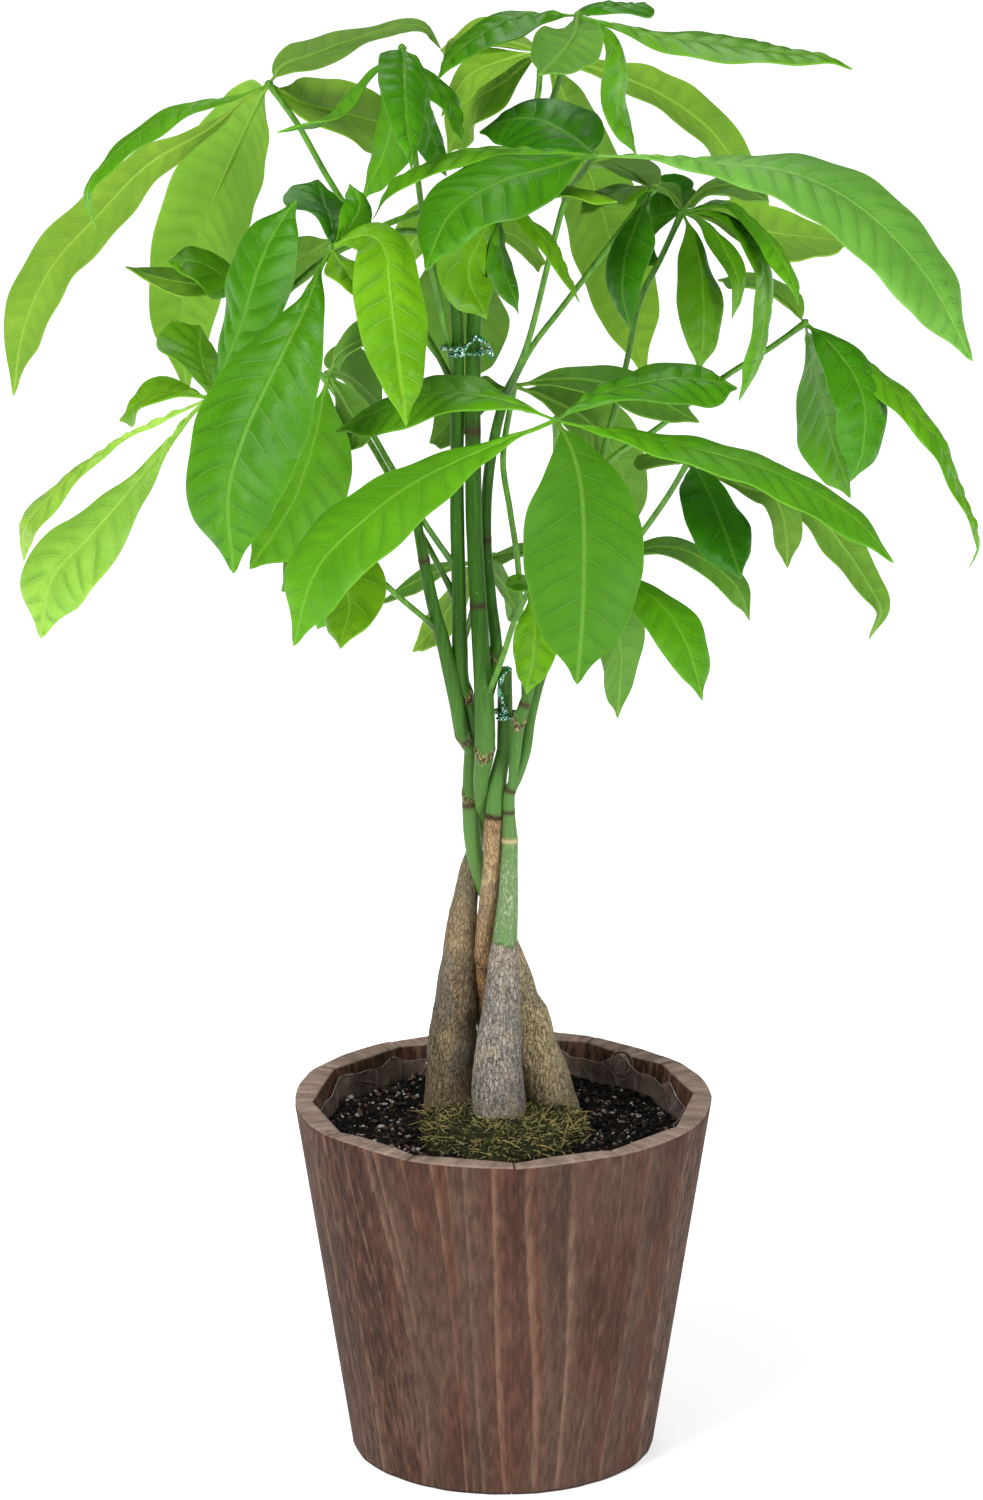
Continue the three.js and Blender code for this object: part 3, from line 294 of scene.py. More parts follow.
# --------------------------------------------------------------------------- user's settings
def size(name, description, millimetres):
    """A length that a user may change, kept in metres."""
    default = millimetres * MM
    return FloatProperty(name=name, description=description, default=default, unit="LENGTH", precision=5)


def arc(name, description, degrees):
    """An angle that a user may change."""
    return FloatProperty(name=name, description=description, default=math.radians(degrees), subtype="ANGLE")


def plain(name, description, default, kind=FloatProperty):
    """A plain number that a user may change."""
    return kind(name=name, description=description, default=default)


def colour(name, description, code):
    """A colour that a user may change, given as an sRGB code of six hex digits."""
    channels = [int(code[i:i + 2], 16) / 255 for i in (0, 2, 4)]
    linear = [c / 12.92 if c <= 0.04045 else ((c + 0.055) / 1.055) ** 2.4 for c in channels]
    return FloatVectorProperty(
        name=name, description=description, default=linear, size=3, min=0, max=1, subtype="COLOR"
    )


class MoneyTreePot(bpy.types.PropertyGroup):
    """Sizes and colours of the pot and of the film in it."""

    height: size("Height", "Height of the pot", 123)
    foot: size("Foot radius", "Outer radius at the foot", 51)
    rim: size("Rim radius", "Outer radius at the rim", 70)
    inner_foot: size("Inner foot radius", "Radius to the inner joints at the foot", 45)
    inner_rim: size("Inner rim radius", "Radius to the inner joints at the rim", 64)
    gap: size("Joint", "Gap between neighbouring staves", 0.06)
    staves: plain("Staves", "Number of staves", 12, IntProperty)
    first_joint: arc("First joint", "Angle of the first joint", 3)
    film_top: size("Film top", "Mean height of the film's edge", 117)
    wood: colour("Wood", "Burnt brown of the staves", "503327")
    # Used for painted highlights along the staves' ridges and for pale scuffs.
    wood_light: colour("Light grain", "Light lines in the wood", "7f6352")
    wood_dark: colour("Dark grain", "Dark streaks in the wood", "2c1c15")
    wood_grey: colour("Weathered", "Grey olive patches in the wood", "48352b")
    sawn: colour("Sawn wood", "Bare sawn wood on the rim", "9d8679")
    film: colour("Film", "Tint of the clear film", "86756d")


class MoneyTreeGround(bpy.types.PropertyGroup):
    """Sizes and colours of the soil and the moss."""

    soil_top: size("Soil top", "Mean height of the soil", 112)
    moss_height: size("Moss height", "Height of the moss over the soil", 8.5)
    crumbs: plain("Crumbs", "Number of loose crumbs of soil", 7000, IntProperty)
    strands: plain("Strands", "Number of moss strands", 6000, IntProperty)
    soil: colour("Soil", "Moist potting soil", "0b0706")
    crumb: colour("Crumb", "Bark crumbs in the soil", "3c2b23")
    grit: colour("Grit", "Pale grit in the soil", "b9b0a6")
    moss: colour("Moss", "Fresh moss", "80784a")
    # Used as painted shade at the moss's roots and as the darker tone of some patches and strands.
    moss_deep: colour("Deep moss", "Shaded moss", "262c10")
    straw: colour("Straw", "Dry strands", "a8945f")


class MoneyTreeTrunk(bpy.types.PropertyGroup):
    """Colours of the bark, stems and ties."""

    front: colour("Front bark", "Grey bark of the front trunk", "9a9289")
    left: colour("Left bark", "Brown bark of the left trunk", "7c6b53")
    right: colour("Right bark", "Tan bark of the right trunk", "b5a27d")
    back: colour("Back bark", "Brown bark of the back trunk", "a07a54")
    lichen: colour("Lichen", "Blue grey patches on the bark", "6f6f6c")
    stem: colour("Stem", "Green skin of the stems", "32620d")
    neck: colour("Neck", "Paler skin low on the stems", "6c9350")
    petiole: colour("Petiole", "Fresh green of the leaf stalks", "56901c")
    scar: colour("Scar", "Dark rings and scars", "4b3423")
    flake: colour("Flake", "Pale flaking bark", "d2b98c")
    tie: colour("Tie", "Green foil of the twist ties", "0c6440")


class MoneyTreeLeaf(bpy.types.PropertyGroup):
    """Sizes and colours of the leaves."""

    thickness: size("Thickness", "Thickness of a blade", 0.55)
    quilting: size("Quilting", "Rise of a blade between its veins", 0.9)
    vein_step: size("Vein step", "Distance between side veins", 7.5)
    # Painted shade: a darker tone for leaflets in shade.
    deep: colour("Deep", "Shaded glossy leaflets", "317202")
    green: colour("Green", "Glossy upper leaflets", "418208")
    leaf: colour("Leaf", "Leaflets in plain light", "58980e")
    fresh: colour("Fresh", "Bright glossy leaflets", "54970b")
    rich: colour("Rich", "Glossy leaflets seen square on", "3c7403")
    lime: colour("Lime", "Youngest leaflets", "659c0e")
    # Painted sheen: a paler tone for young leaflets that catch a white sheen.
    mint: colour("Mint", "Young leaflets with a white sheen", "86b63e")
    # Painted sheen: a paler tone for upper leaflets that catch the sky.
    sheen: colour("Sheen", "Upper leaflets that catch the sky", "62a338")
    # Painted light: a brighter tone for undersides lit from behind.
    pale: colour("Pale", "Undersides with the light behind", "7aa82c")
    # Painted shade: a darker tone for undersides in the shade.
    dusky: colour("Dusky", "Undersides in the shade", "5f8e2a")


class MoneyTreeStage(bpy.types.PropertyGroup):
    """Floor, lights and camera."""

    floor: colour("Floor", "Plain pale floor", "f7f7f7")
    floor_radius: size("Floor radius", "Reach of the floor", 40000)
    glow: plain("Floor glow", "Light that the floor gives of itself", 0.47)
    key: plain("Key light", "Strength of the broad key light", 1.5)
    key_size: arc("Key size", "Angle that the key light fills", 20)
    windows: FloatProperty(name="Windows", description="Power of the area lights", default=13.5, unit="POWER")
    sky: plain("Sky", "Strength of the white surroundings", 0.34)
    gloss: plain("Sky in gloss", "Share of the sky that gloss mirrors", 0.09)


# --------------------------------------------------------------------------------- finishes
class Value:
    """A node's output, for arithmetic."""

    def __init__(self, finish, socket):
        self.finish, self.socket = finish, socket

    def __add__(self, other):
        return self.finish.math("ADD", self, other)

    def __mul__(self, other):
        return self.finish.math("MULTIPLY", self, other)

    def spread(self, low, high, to_low=0.0, to_high=1.0):
        """The value carried smoothly from one range to another."""
        inputs = {"Value": self, "From Min": low, "From Max": high, "To Min": to_low, "To Max": to_high}
        return self.finish.out("MapRange", inputs, interpolation_type="SMOOTHSTEP")


class Finish:
    """A material being made: colours are laid over its base, which finished() feeds."""

    def __init__(self, name, **constants):
        self.material = bpy.data.materials.new(name)
        self.material.use_nodes = True
        self.tree = self.material.node_tree
        self.base = None
        self.feed(**constants)

    def set(self, socket, value):
        """Links a value to a socket, or gives the socket a constant."""
        if isinstance(value, Value):
            self.tree.links.new(value.socket, socket)
        else:
            socket.default_value = (*value[:3], 1) if socket.type == "RGBA" else value

    def add(self, kind, inputs, **settings):
        """Adds a node of a kind with its settings and inputs."""
        made = self.tree.nodes.new("ShaderNode" + kind)
        for key, value in settings.items():
            setattr(made, key, value)
        for key, value in inputs.items():
            self.set(made.inputs[key], value)
        return made

    def out(self, kind, inputs, output=0, **settings):
        """One output of a new node."""
        return Value(self, self.add(kind, inputs, **settings).outputs[output])

    def feed(self, **links):
        """Feeds the shader's sockets."""
        sockets = self.tree.nodes["Principled BSDF"].inputs
        for key, value in links.items():
            self.set(sockets[key.replace("_", " ").title().replace("Ior", "IOR")], value)

    def finished(self, height, strength, distance, **links):
        """Feeds the shader with the base, a bump of a height and other links."""
        normal = self.out("Bump", {"Height": height, "Strength": strength, "Distance": distance})
        self.feed(Base_Color=self.base, Normal=normal, **links)
        return self.material

    def attribute(self, name, output="Fac"):
        """The value that the mesh carries under a name."""
        return self.out("Attribute", {}, output, attribute_name=name)

    def place(self, stretch=(1, 1, 1), at=(0, 0, 0)):
        """Object coordinates, centred on a point and stretched."""
        spot = self.out("TexCoord", {}, "Object")
        shifted = self.out("VectorMath", {0: spot, 1: at}, operation="SUBTRACT")
        return self.out("VectorMath", {0: shifted, 1: stretch}, operation="MULTIPLY")

    def length(self, stretch=(1, 1, 1), at=(0, 0, 0)):
        """Distance from a point, along stretched axes."""
        return self.out("VectorMath", {0: self.place(stretch, at)}, "Value", operation="LENGTH")

    def level(self):
        """Height over the floor."""
        return self.out("SeparateXYZ", {0: self.place()}, "Z")

    def upward(self):
        """How far the surface faces up, from -1 to 1."""
        return self.out("SeparateXYZ", {0: self.out("NewGeometry", {}, "Normal")}, "Z")

    def noise(self, scale, tall=1.0, detail=4, rough=0.55, twist=0.0, spot=None):
        """Fractal noise round a half, at a spot or over the piece with its height squeezed."""
        inputs = {"Vector": spot or self.place((1, 1, tall)), "Scale": scale}
        return self.out("TexNoise", inputs | {"Detail": detail, "Roughness": rough, "Distortion": twist})

    def cells(self, scale, tall=1.0, feature="F1", output="Distance"):
        """Distances or colours of scattered cells."""
        inputs = {"Vector": self.place((1, 1, tall)), "Scale": scale}
        return self.out("TexVoronoi", inputs, output, feature=feature)

    def math(self, operation, first, second=0.0):
        """Arithmetic on values."""
        return self.out("Math", {0: first, 1: second}, operation=operation)

    def mix(self, share, first, second, blend="MIX"):
        """A mix of two colours."""
        inputs = {0: share, 6: first, 7: second}
        return self.out("Mix", inputs, 2, data_type="RGBA", blend_type=blend, clamp_result=blend == "MIX")

    def lay(self, share, colour, blend="MIX"):
        """Lays a colour over the base."""
        self.base = self.mix(share, self.base, colour, blend)

    def ramp(self, value, *stops):
        """A colour picked along stops of (position, colour)."""
        made = self.add("ValToRGB", {0: value})
        elements = made.color_ramp.elements
        while len(elements) < len(stops):
            elements.new(0.5)
        for element, (position, shade) in zip(elements, stops):
            element.position = position
            element.color = (*shade, 1)
        return Value(self, made.outputs["Color"])


def shade(colour, factor):
    """A colour made lighter or darker."""
    return tuple(min(1.0, channel * factor) for channel in colour)


def grey(level):
    """A grey, as a colour."""
    return (level,) * 3


KNOT = (0.0405, 0.0455, 0.1185)
KNOT_RINGS = 3600


def wood_finish(pot):
    """Burnt wood: bands and pale lines down the taper, the lines painted highlights along raised ridges, saw
    marks, fine grain, a bare rim and painted shade along the foot.
    """
    finish = Finish("burnt_wood", specular_ior_level=0.2)
    around, level = finish.attribute("around"), finish.level()
    coiled = finish.out("CombineXYZ", {0: around, 1: finish.length((1, 1, 0)), 2: level})

    def along(tall, scale, detail=4, rough=0.55):
        """Noise round the staves, with its height squeezed."""
        spot = finish.out("VectorMath", {0: coiled, 1: (1, 1, tall)}, operation="MULTIPLY")
        return finish.noise(scale, detail=detail, rough=rough, spot=spot)

    def turned(rotation, stretch):
        """The staves' coordinates, turned and stretched."""
        return finish.out("Mapping", {"Vector": coiled, "Rotation": rotation, "Scale": stretch})

    drift = along(0.07, 20, 1) * 0.04 + along(0.25, 50, 1) * 0.001 + around

    def sawtooth(step, seed):
        """The share across each band round the pot, and a chance of the band's own."""
        count = drift * (1 / step) + seed
        number = finish.math("FLOOR", count)
        return finish.math("FRACT", count), finish.out("TexWhiteNoise", {"W": number}, noise_dimensions="1D")

    def ridge_highlight(share, chance, wide, odds):
        """Painted highlights: pale lines along the ridges between some of the bands."""
        near = finish.math("MINIMUM", share, (share * -1 + 1) * 3)
        return near.spread(0, wide, 1, 0) * chance.spread(odds, odds + 0.3)

    broad, broad_chance = sawtooth(0.0262, 0.3)
    narrow, narrow_chance = sawtooth(0.0094, 0.7)
    finish.base = finish.ramp(
        broad, (0.0, shade(pot.wood_grey, 1.3)), (0.25, shade(pot.wood_grey, 1.15)), (0.5, pot.wood),
        (0.85, shade(pot.wood, 0.9)), (1.0, shade(pot.wood, 1.1)),
    )
    finish.lay(broad_chance * 0.7, shade(pot.wood, 0.95))
    fall = finish.ramp(narrow, (0.0, grey(0.63)), (0.3, grey(0.54)), (0.95, grey(0.43)))
    finish.lay(narrow_chance.spread(0.1, 0.6, 0.2, 0.95), fall, "OVERLAY")
    patchy = along(0.3, 34, 3)
    finish.lay(patchy.spread(0.48, 0.62, 0, 0.7), shade(pot.wood_grey, 1.25))
    finish.lay(patchy.spread(0.38, 0.5, 0.4, 0), pot.wood_dark)
    # Painted highlights along the staves' ridges: pale lines, also raised slightly in the bump.
    fine_ridge_highlight = ridge_highlight(narrow, narrow_chance, 0.26, 0.25)
    broad_ridge_highlight = ridge_highlight(broad, broad_chance, 0.08, 0)
    line = finish.math("MAXIMUM", fine_ridge_highlight, broad_ridge_highlight) * along(0.2, 55, 2).spread(0.36, 0.6, 0.25, 1)
    finish.lay(line * 0.5, pot.wood_light)
    grain = along(0.09, 760, 6, 0.7)
    finish.lay(0.6, finish.ramp(grain, (0.3, (0.3, 0.29, 0.28)), (0.65, (0.7, 0.69, 0.68))), "OVERLAY")
    saw = finish.noise(620, spot=turned((0, 0.75, 0), (1, 1, 0.16)))
    rough_patch = broad_chance.spread(0.4, 0.65, 0.4, 1)
    nicks = saw.spread(0.5, 0.6) * rough_patch
    finish.lay(nicks * 0.8, shade(pot.wood_dark, 0.8))
    finish.lay(saw.spread(0.34, 0.44, 1, 0) * rough_patch * 0.35, pot.wood_light)
    rim_grain = finish.noise(260, detail=6, rough=0.7, spot=turned((0, 0, 0.6), (1, 0.25, 1)))
    stops = (0.32, shade(pot.sawn, 0.42)), (0.5, shade(pot.sawn, 0.85)), (0.68, shade(pot.sawn, 1.25))
    finish.lay(finish.upward().spread(0.35, 0.8) * 0.95, finish.ramp(rim_grain, *stops))
    from_knot = finish.length(at=KNOT)
    rings = finish.math("SINE", (grain * 0.001 + from_knot) * KNOT_RINGS).spread(-0.6, 0.6)
    ringed = finish.mix(rings, shade(pot.wood_dark, 1.1), shade(pot.sawn, 1.1))
    finish.lay(from_knot.spread(0.0045, 0.0058, 0.9, 0), ringed)
    # Painted shade: a dark band along the very foot of the staves.
    finish.lay(level.spread(0.0004, 0.0016, 0.8, 0), shade(pot.wood_dark, 0.45))
    height = grain * 0.6 + line * 0.5 + nicks * -0.6
    return finish.finished(height, 0.5, 0.0006, Roughness=grain.spread(0.3, 0.7, 0.82, 0.66))


def disc_finish(pot):
    """Plain sawn board for the base disc."""
    finish = Finish("base_board", roughness=0.85, specular_ior_level=0.25)
    grain = finish.noise(420, detail=5, rough=0.65, spot=finish.place((1, 0.06, 1)))
    stops = (0.3, shade(pot.wood_dark, 0.9)), (0.55, pot.wood), (0.72, shade(pot.sawn, 0.9))
    finish.base = finish.ramp(grain, *stops)
    return finish.finished(grain, 0.5, 0.0006)


def film_finish(pot):
    """Clear creased film, with painted highlights that make it whiter at its folds and its cut edge."""
    finish = Finish("clear_film", roughness=0.1, coat_weight=1.0, coat_roughness=0.08, ior=1.45)
    creased = finish.noise(80, 0.7, detail=2, twist=1.4)
    fold = finish.cells(75, feature="DISTANCE_TO_EDGE").spread(0, 0.05, 1, 0)
    # Painted highlights: the film is laid whiter, and more opaque, at its folds and its cut edge.
    painted_glint = finish.math("MAXIMUM", fold * 0.25, finish.attribute("edge") * 0.6)
    alpha = finish.math("MAXIMUM", creased.spread(0.35, 0.7, 0.22, 0.66), painted_glint)
    finish.base = finish.mix(painted_glint, pot.film, (0.62, 0.56, 0.57))
    return finish.finished(fold * 0.3 + creased, 0.9, 0.002, Alpha=alpha)


def soil_finish(ground):
    """Moist dark soil with fine crumbs."""
    finish = Finish("potting_soil", specular_ior_level=0.15)
    fine = finish.noise(900, detail=5, rough=0.7)
    stops = (0.35, shade(ground.soil, 0.5)), (0.6, ground.soil), (0.8, shade(ground.crumb, 0.7))
    finish.base = finish.ramp(fine, *stops)
    finish.lay(finish.cells(620).spread(0.05, 0.12, 0.6, 0), shade(ground.grit, 0.5))
    return finish.finished(fine, 1.0, 0.0015, Roughness=fine.spread(0.3, 0.7, 0.6, 0.95))


def crumb_finish(ground):
    """Bark crumbs and pale grit, each crumb a shade of its own."""
    finish = Finish("soil_crumbs", specular_ior_level=0.2)
    fine = finish.noise(1500, detail=3)
    finish.base = finish.ramp(
        finish.attribute("chance"), (0.0, shade(ground.soil, 0.45)), (0.58, shade(ground.soil, 0.4)),
        (0.8, shade(ground.crumb, 0.5)), (0.91, shade(ground.crumb, 2.3)), (0.94, shade(ground.grit, 0.6)),
        (1.0, shade(ground.grit, 1.3)),
    )
    finish.lay(fine * 0.5, shade(ground.soil, 0.8))
    return finish.finished(fine, 0.7, 0.0005, Roughness=fine.spread(0.3, 0.7, 0.5, 0.9))


def moss_finish(ground):
    """Moss with painted shade at its roots and tips that are paler, partly as fresh growth and partly as
    painted light, with some strands dry.
    """
    finish = Finish("moss_bed", roughness=0.8, specular_ior_level=0.25)
    chance, reach = finish.attribute("chance"), finish.attribute("reach")
    drift = finish.noise(90, detail=3)
    # Painted shade at the roots; the tips are paler, partly as fresh growth and partly as painted light.
    finish.base = finish.mix(reach.spread(0.1, 0.9), shade(ground.moss_deep, 0.4), shade(ground.moss, 1.5))
    finish.lay(drift.spread(0.4, 0.62, 0, 0.5), ground.moss_deep)
    lively = finish.mix(drift.spread(0.46, 0.56), shade(ground.moss, 2.8), shade(ground.moss_deep, 4))
    finish.lay(chance.spread(0.55, 0.7), finish.mix(0.5, finish.base, lively))
    finish.lay(chance.spread(0.34, 0.46, 0.8, 0), shade(ground.moss_deep, 0.6))
    finish.lay(chance.spread(0.86, 0.9), ground.straw)
    return finish.finished(finish.noise(1200, detail=3), 0.8, 0.0008)


def bark_finish(trunk, name, bark):
    """Fissured bark below and green skin above, with rings, scars and flakes."""
    finish = Finish(name, specular_ior_level=0.2)
    crust, dark, pale, flake, frost, woody = map(
        finish.attribute, ("crust", "dark", "pale", "flake", "frost", "bark")
    )
    fissure = finish.noise(800, 0.3, detail=6, rough=0.75)
    crack = finish.cells(900, 0.4, "DISTANCE_TO_EDGE")
    blotch = finish.noise(150, 0.5)
    speck = finish.noise(1500, 0.6, detail=3)
    cool = finish.noise(70, detail=3, spot=finish.place((1, 1, 0.6), at=(0.3, 0, 0)))
    streak = finish.noise(700, 0.06, detail=3)
    level = finish.level()
    finish.base = finish.mix(streak.spread(0.35, 0.65), shade(trunk.stem, 0.75), shade(trunk.stem, 1.25))
    finish.lay(level.spread(0.2, 0.3, 0.55, 0), trunk.neck)
    finish.lay(frost * 0.6, (0.17, 0.25, 0.12))
    finish.lay(frost * finish.noise(1500, 0.4).spread(0.5, 0.66) * 0.6, (0.5, 0.52, 0.4))
    finish.lay(speck.spread(0.68, 0.74, 0, 0.5), (0.5, 0.56, 0.4))
    skin = finish.base
    stops = (0.36, 0.25), (0.45, 0.85), (0.56, 1.35), (0.68, 1.95)
    finish.base = finish.ramp(fissure, *((at, shade(bark, factor)) for at, factor in stops))
    finish.lay(crack.spread(0.0, 0.09, 0.6, 0), shade(bark, 0.22))
    finish.lay(finish.cells(1050, 0.4).spread(0.2, 0.34, 0.7, 0), shade(bark, 0.2))
    finish.lay(blotch.spread(0.54, 0.68, 0, 0.3), shade(trunk.right, 1.3))
    finish.lay(blotch.spread(0.32, 0.43, 0.4, 0), shade(bark, 0.5))
    finish.lay(speck.spread(0.58, 0.66, 0, 0.5), shade(bark, 1.9))
    finish.lay(cool.spread(0.5, 0.62, 0, 0.35), trunk.lichen)
    finish.lay(level.spread(0.155, 0.19, 0, 0.25), shade(trunk.right, 1.35))
    woody = (woody + finish.noise(420, 0.25, detail=3) * 1.5 + -0.75).spread(0.4, 0.6)
    finish.base = finish.mix(woody, skin, finish.base)
    stops = (0.4, shade(trunk.scar, 0.7)), (0.5, shade(trunk.scar, 1.3)), (0.62, shade(trunk.flake, 0.9))
    finish.lay(crust, finish.ramp(speck, *stops))
    finish.lay(dark, shade(trunk.scar, 0.7))
    finish.lay(pale, shade(trunk.flake, 0.8))
    flaking = flake * finish.noise(330).spread(0.48, 0.56)
    finish.lay(flaking, trunk.flake)
    finish.lay(level.spread(0.119, 0.131, 0.45, 0) * woody, shade(trunk.right, 0.45))
    relief = woody * (crack.spread(0, 0.1) * 0.4 + fissure) + flaking * 0.4 + crust * speck + streak * 0.06
    return finish.finished(relief, 1.0, 0.0012, Roughness=woody.spread(0, 1, 0.42, 0.88))


def stalk_finish(trunk):
    """Smooth green leaf stalks, browner where they leave the stem."""
    finish = Finish("leaf_stalks", specular_ior_level=0.5, roughness=0.38)
    streak = finish.noise(500, 0.2, detail=3)
    lines = streak.spread(0.35, 0.65)
    finish.base = finish.mix(lines, shade(trunk.petiole, 0.72), shade(trunk.petiole, 1.15))
    finish.lay(finish.attribute("base"), shade(trunk.stem, 0.7))
    return finish.finished(streak, 0.2, 0.0004)


def leaf_finish():
    """Quilted leaflets: light ribs and veins over each leaflet's tint, which for some tones is painted shade
    or painted light, with painted light and shade on the puckers and painted shade along the veins.
    """
    finish = Finish("leaf_blades", specular_ior_level=0.22)
    tint = finish.attribute("tint", "Color")
    matte, edge, vein, rib = map(finish.attribute, ("matte", "edge", "vein", "rib"))
    drift, fine = finish.noise(34, detail=3), finish.noise(800)

    def dyed(red, green, blue):
        """The leaflet's tint, multiplied by a colour."""
        return finish.mix(1.0, tint, (red, green, blue), "MULTIPLY")

    finish.base = tint
    finish.lay(0.8, finish.ramp(drift, (0.3, (0.34, 0.4, 0.36)), (0.7, (0.66, 0.62, 0.6))), "OVERLAY")
    finish.lay(0.3, finish.ramp(fine, (0.3, grey(0.38)), (0.7, grey(0.62))), "OVERLAY")
    # Painted light and shade: one side of each pucker between the veins is laid lighter and the other darker.
    slope = finish.math("FRACT", vein)
    lit = slope.spread(0.1, 0.45, 1, 0) * slope.spread(0.0, 0.08)
    dim = slope.spread(0.5, 0.85) * slope.spread(0.92, 1.0, 1, 0)
    pucker_shading = edge.spread(0.06, 0.3) * edge.spread(0.75, 1, 1, 0.3)
    pucker_shading = pucker_shading * matte.spread(0, 1, 0.7, 0.3) * drift.spread(0.36, 0.62, 0.25, 1)
    finish.lay(dim * pucker_shading, dyed(0.62, 0.72, 0.7))
    finish.lay(lit * pucker_shading * 0.6, dyed(1.35, 1.2, 1.6))
    from_vein = finish.math("PINGPONG", vein, 0.5)
    # Painted shade: a darker band along each sunken vein.
    finish.lay(from_vein.spread(0.04, 0.2, 1, 0) * edge.spread(0.5, 0.9, 0.28, 0), dyed(0.6, 0.72, 0.6))
    groove = from_vein.spread(0.01, 0.08, 1, 0) * edge.spread(0.55, 0.95, 1, 0)
    light = finish.mix(0.55, dyed(1.45, 1.3, 1.6), finish.mix(0.22, tint, (0.5, 0.8, 0.16)))
    finish.lay(groove * matte.spread(0, 1, 0.34, 0.22), light)
    ribbed = finish.math("ABSOLUTE", rib).spread(0.3, 0.95, 1, 0)
    finish.lay(ribbed * 0.75, light)
    finish.lay(edge.spread(0.96, 0.99, 0, 0.35), light)
    rough = matte * 0.26 + fine.spread(0.3, 0.7, 0.33, 0.45)
    return finish.finished(groove * -0.4 + fine * 0.3 + ribbed * 0.4, 0.5, 0.0006, Roughness=rough)


def tie_finish(trunk):
    """Green foil with a painted sparkle: bright glints and dark specks laid into its colour."""
    finish = Finish("foil_tie", metallic=0.4, roughness=0.25, coat_weight=0.5)
    spark = finish.out("SeparateColor", {0: finish.cells(2600, output="Color")})
    # Painted sparkle: some cells of the foil are laid near white as glints, others near black.
    finish.base = finish.ramp(
        spark, (0.0, shade(trunk.tie, 0.06)), (0.45, trunk.tie), (0.7, shade(trunk.tie, 3)),
        (0.9, (0.75, 0.95, 0.85)),
    )
    return finish.finished(spark, 0.8, 0.0004)


# ---------------------------------------------------------------------------- shapes in mesh
def add_piece(name, bm, finishes, nodes, sharp):
    """Makes a piece that rides on the plant from a bmesh in mm, for the nodes it stands for."""
    bmesh.ops.scale(bm, vec=(MM,) * 3, verts=bm.verts)
    mesh = bpy.data.meshes.new(name)
    bm.to_mesh(mesh)
    bm.free()
    for finish in finishes:
        mesh.materials.append(finish)
    mesh.shade_smooth()
    mesh.set_sharp_from_angle(angle=math.radians(sharp))
    piece = bpy.data.objects.new(name, mesh)
    bpy.context.scene.collection.objects.link(piece)
    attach(piece, BODY)
    if nodes:
        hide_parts(*nodes)


def smooth(low, high, value):
    """Rises smoothly from 0 at low to 1 at high."""
    share = min(1.0, max(0.0, (value - low) / (high - low)))
    return share * share * (3 - 2 * share)


def between(first, second, share):
    """A value between two others."""
    return first + (second - first) * share


def polar(reach, angle, level=0.0):
    """The point at a distance from the pot's axis, an angle round it and a level."""
    return Vector((reach * math.cos(angle), reach * math.sin(angle), level))


def angle_of(vertex):
    """The angle of a vertex round the pot's axis."""
    return math.atan2(vertex.co.y, vertex.co.x)


def rise(edge):
    """How much an edge rises between its ends."""
    return abs(edge.verts[0].co.z - edge.verts[1].co.z)


def lump(x, y, z):
    """Smooth noise round 0 at a point."""
    return noise.noise(Vector((x, y, z)))


def layers_of(bm, *names):
    """New attributes of a bmesh's vertices, by their names."""
    return {name: bm.verts.layers.float.new(name) for name in names}


def put(vertex, layers, **values):
    """Gives a vertex values of attributes."""
    for name, value in values.items():
        vertex[layers[name]] = value


def grow(bm, edges):
    """Extrudes edges. Returns the new vertices and the edges between them."""
    made = bmesh.ops.extrude_edge_only(bm, edges=edges)["geom"]
    fresh = [part for part in made if isinstance(part, bmesh.types.BMVert)]
    held = set(fresh)
    return fresh, [part for part in made if part not in held and held.issuperset(part.verts)]


def bag(bm, sides, count):
    """A closed circle and count more rings extruded from it. Returns them all, in order."""
    rings = [bmesh.ops.create_circle(bm, cap_ends=True, segments=sides, radius=1)["verts"]]
    edges = bm.edges[:]
    for i in range(count):
        ring, edges = grow(bm, edges)
        rings.append(ring)
    return rings


def knot(points, span, share):
    """A point in a span of the smooth route through points, whose knots follow chord roots."""
    here, there = points[span], points[span + 1]
    before = points[span - 1] if span else 2 * here - there
    after = points[span + 2] if span + 2 < len(points) else 2 * there - here
    steps = (here - before, there - here, after - there)
    d0, d1, d2 = (max(step.length, 1e-6) ** 0.5 for step in steps)
    leave = ((here - before) / d0 - (there - before) / (d0 + d1) + (there - here) / d1) * d1
    reach = ((there - here) / d1 - (after - here) / (d1 + d2) + (after - there) / d2) * d1
    t2, t3 = share * share, share ** 3
    return (
        here * (2 * t3 - 3 * t2 + 1) + leave * (t3 - 2 * t2 + share)
        + there * (3 * t2 - 2 * t3) + reach * (t3 - t2)
    )


def walk(points, count, fine=24):
    """Count steps of one length along the smooth route through points, and its length."""
    dense = [knot(points, span, k / fine) for span in range(len(points) - 1) for k in range(fine)]
    dense.append(points[-1].copy())
    marks = [0.0]
    for before, after in zip(dense, dense[1:]):
        marks.append(marks[-1] + (after - before).length)
    stations, at = [], 0
    for i in range(count + 1):
        goal = marks[-1] * i / count
        while at < len(marks) - 2 and marks[at + 1] < goal:
            at += 1
        share = (goal - marks[at]) / max(marks[at + 1] - marks[at], 1e-9)
        stations.append(dense[at].lerp(dense[at + 1], share))
    return stations, marks[-1]


def ways(centres):
    """The direction of a route at each of its points."""
    last = len(centres) - 1
    return [(centres[min(i + 1, last)] - centres[max(i - 1, 0)]).normalized() for i in range(last + 1)]


def key_of(vertex):
    """A vertex's place, rounded, to find it by."""
    return tuple(round(c, 7) for c in vertex.co)


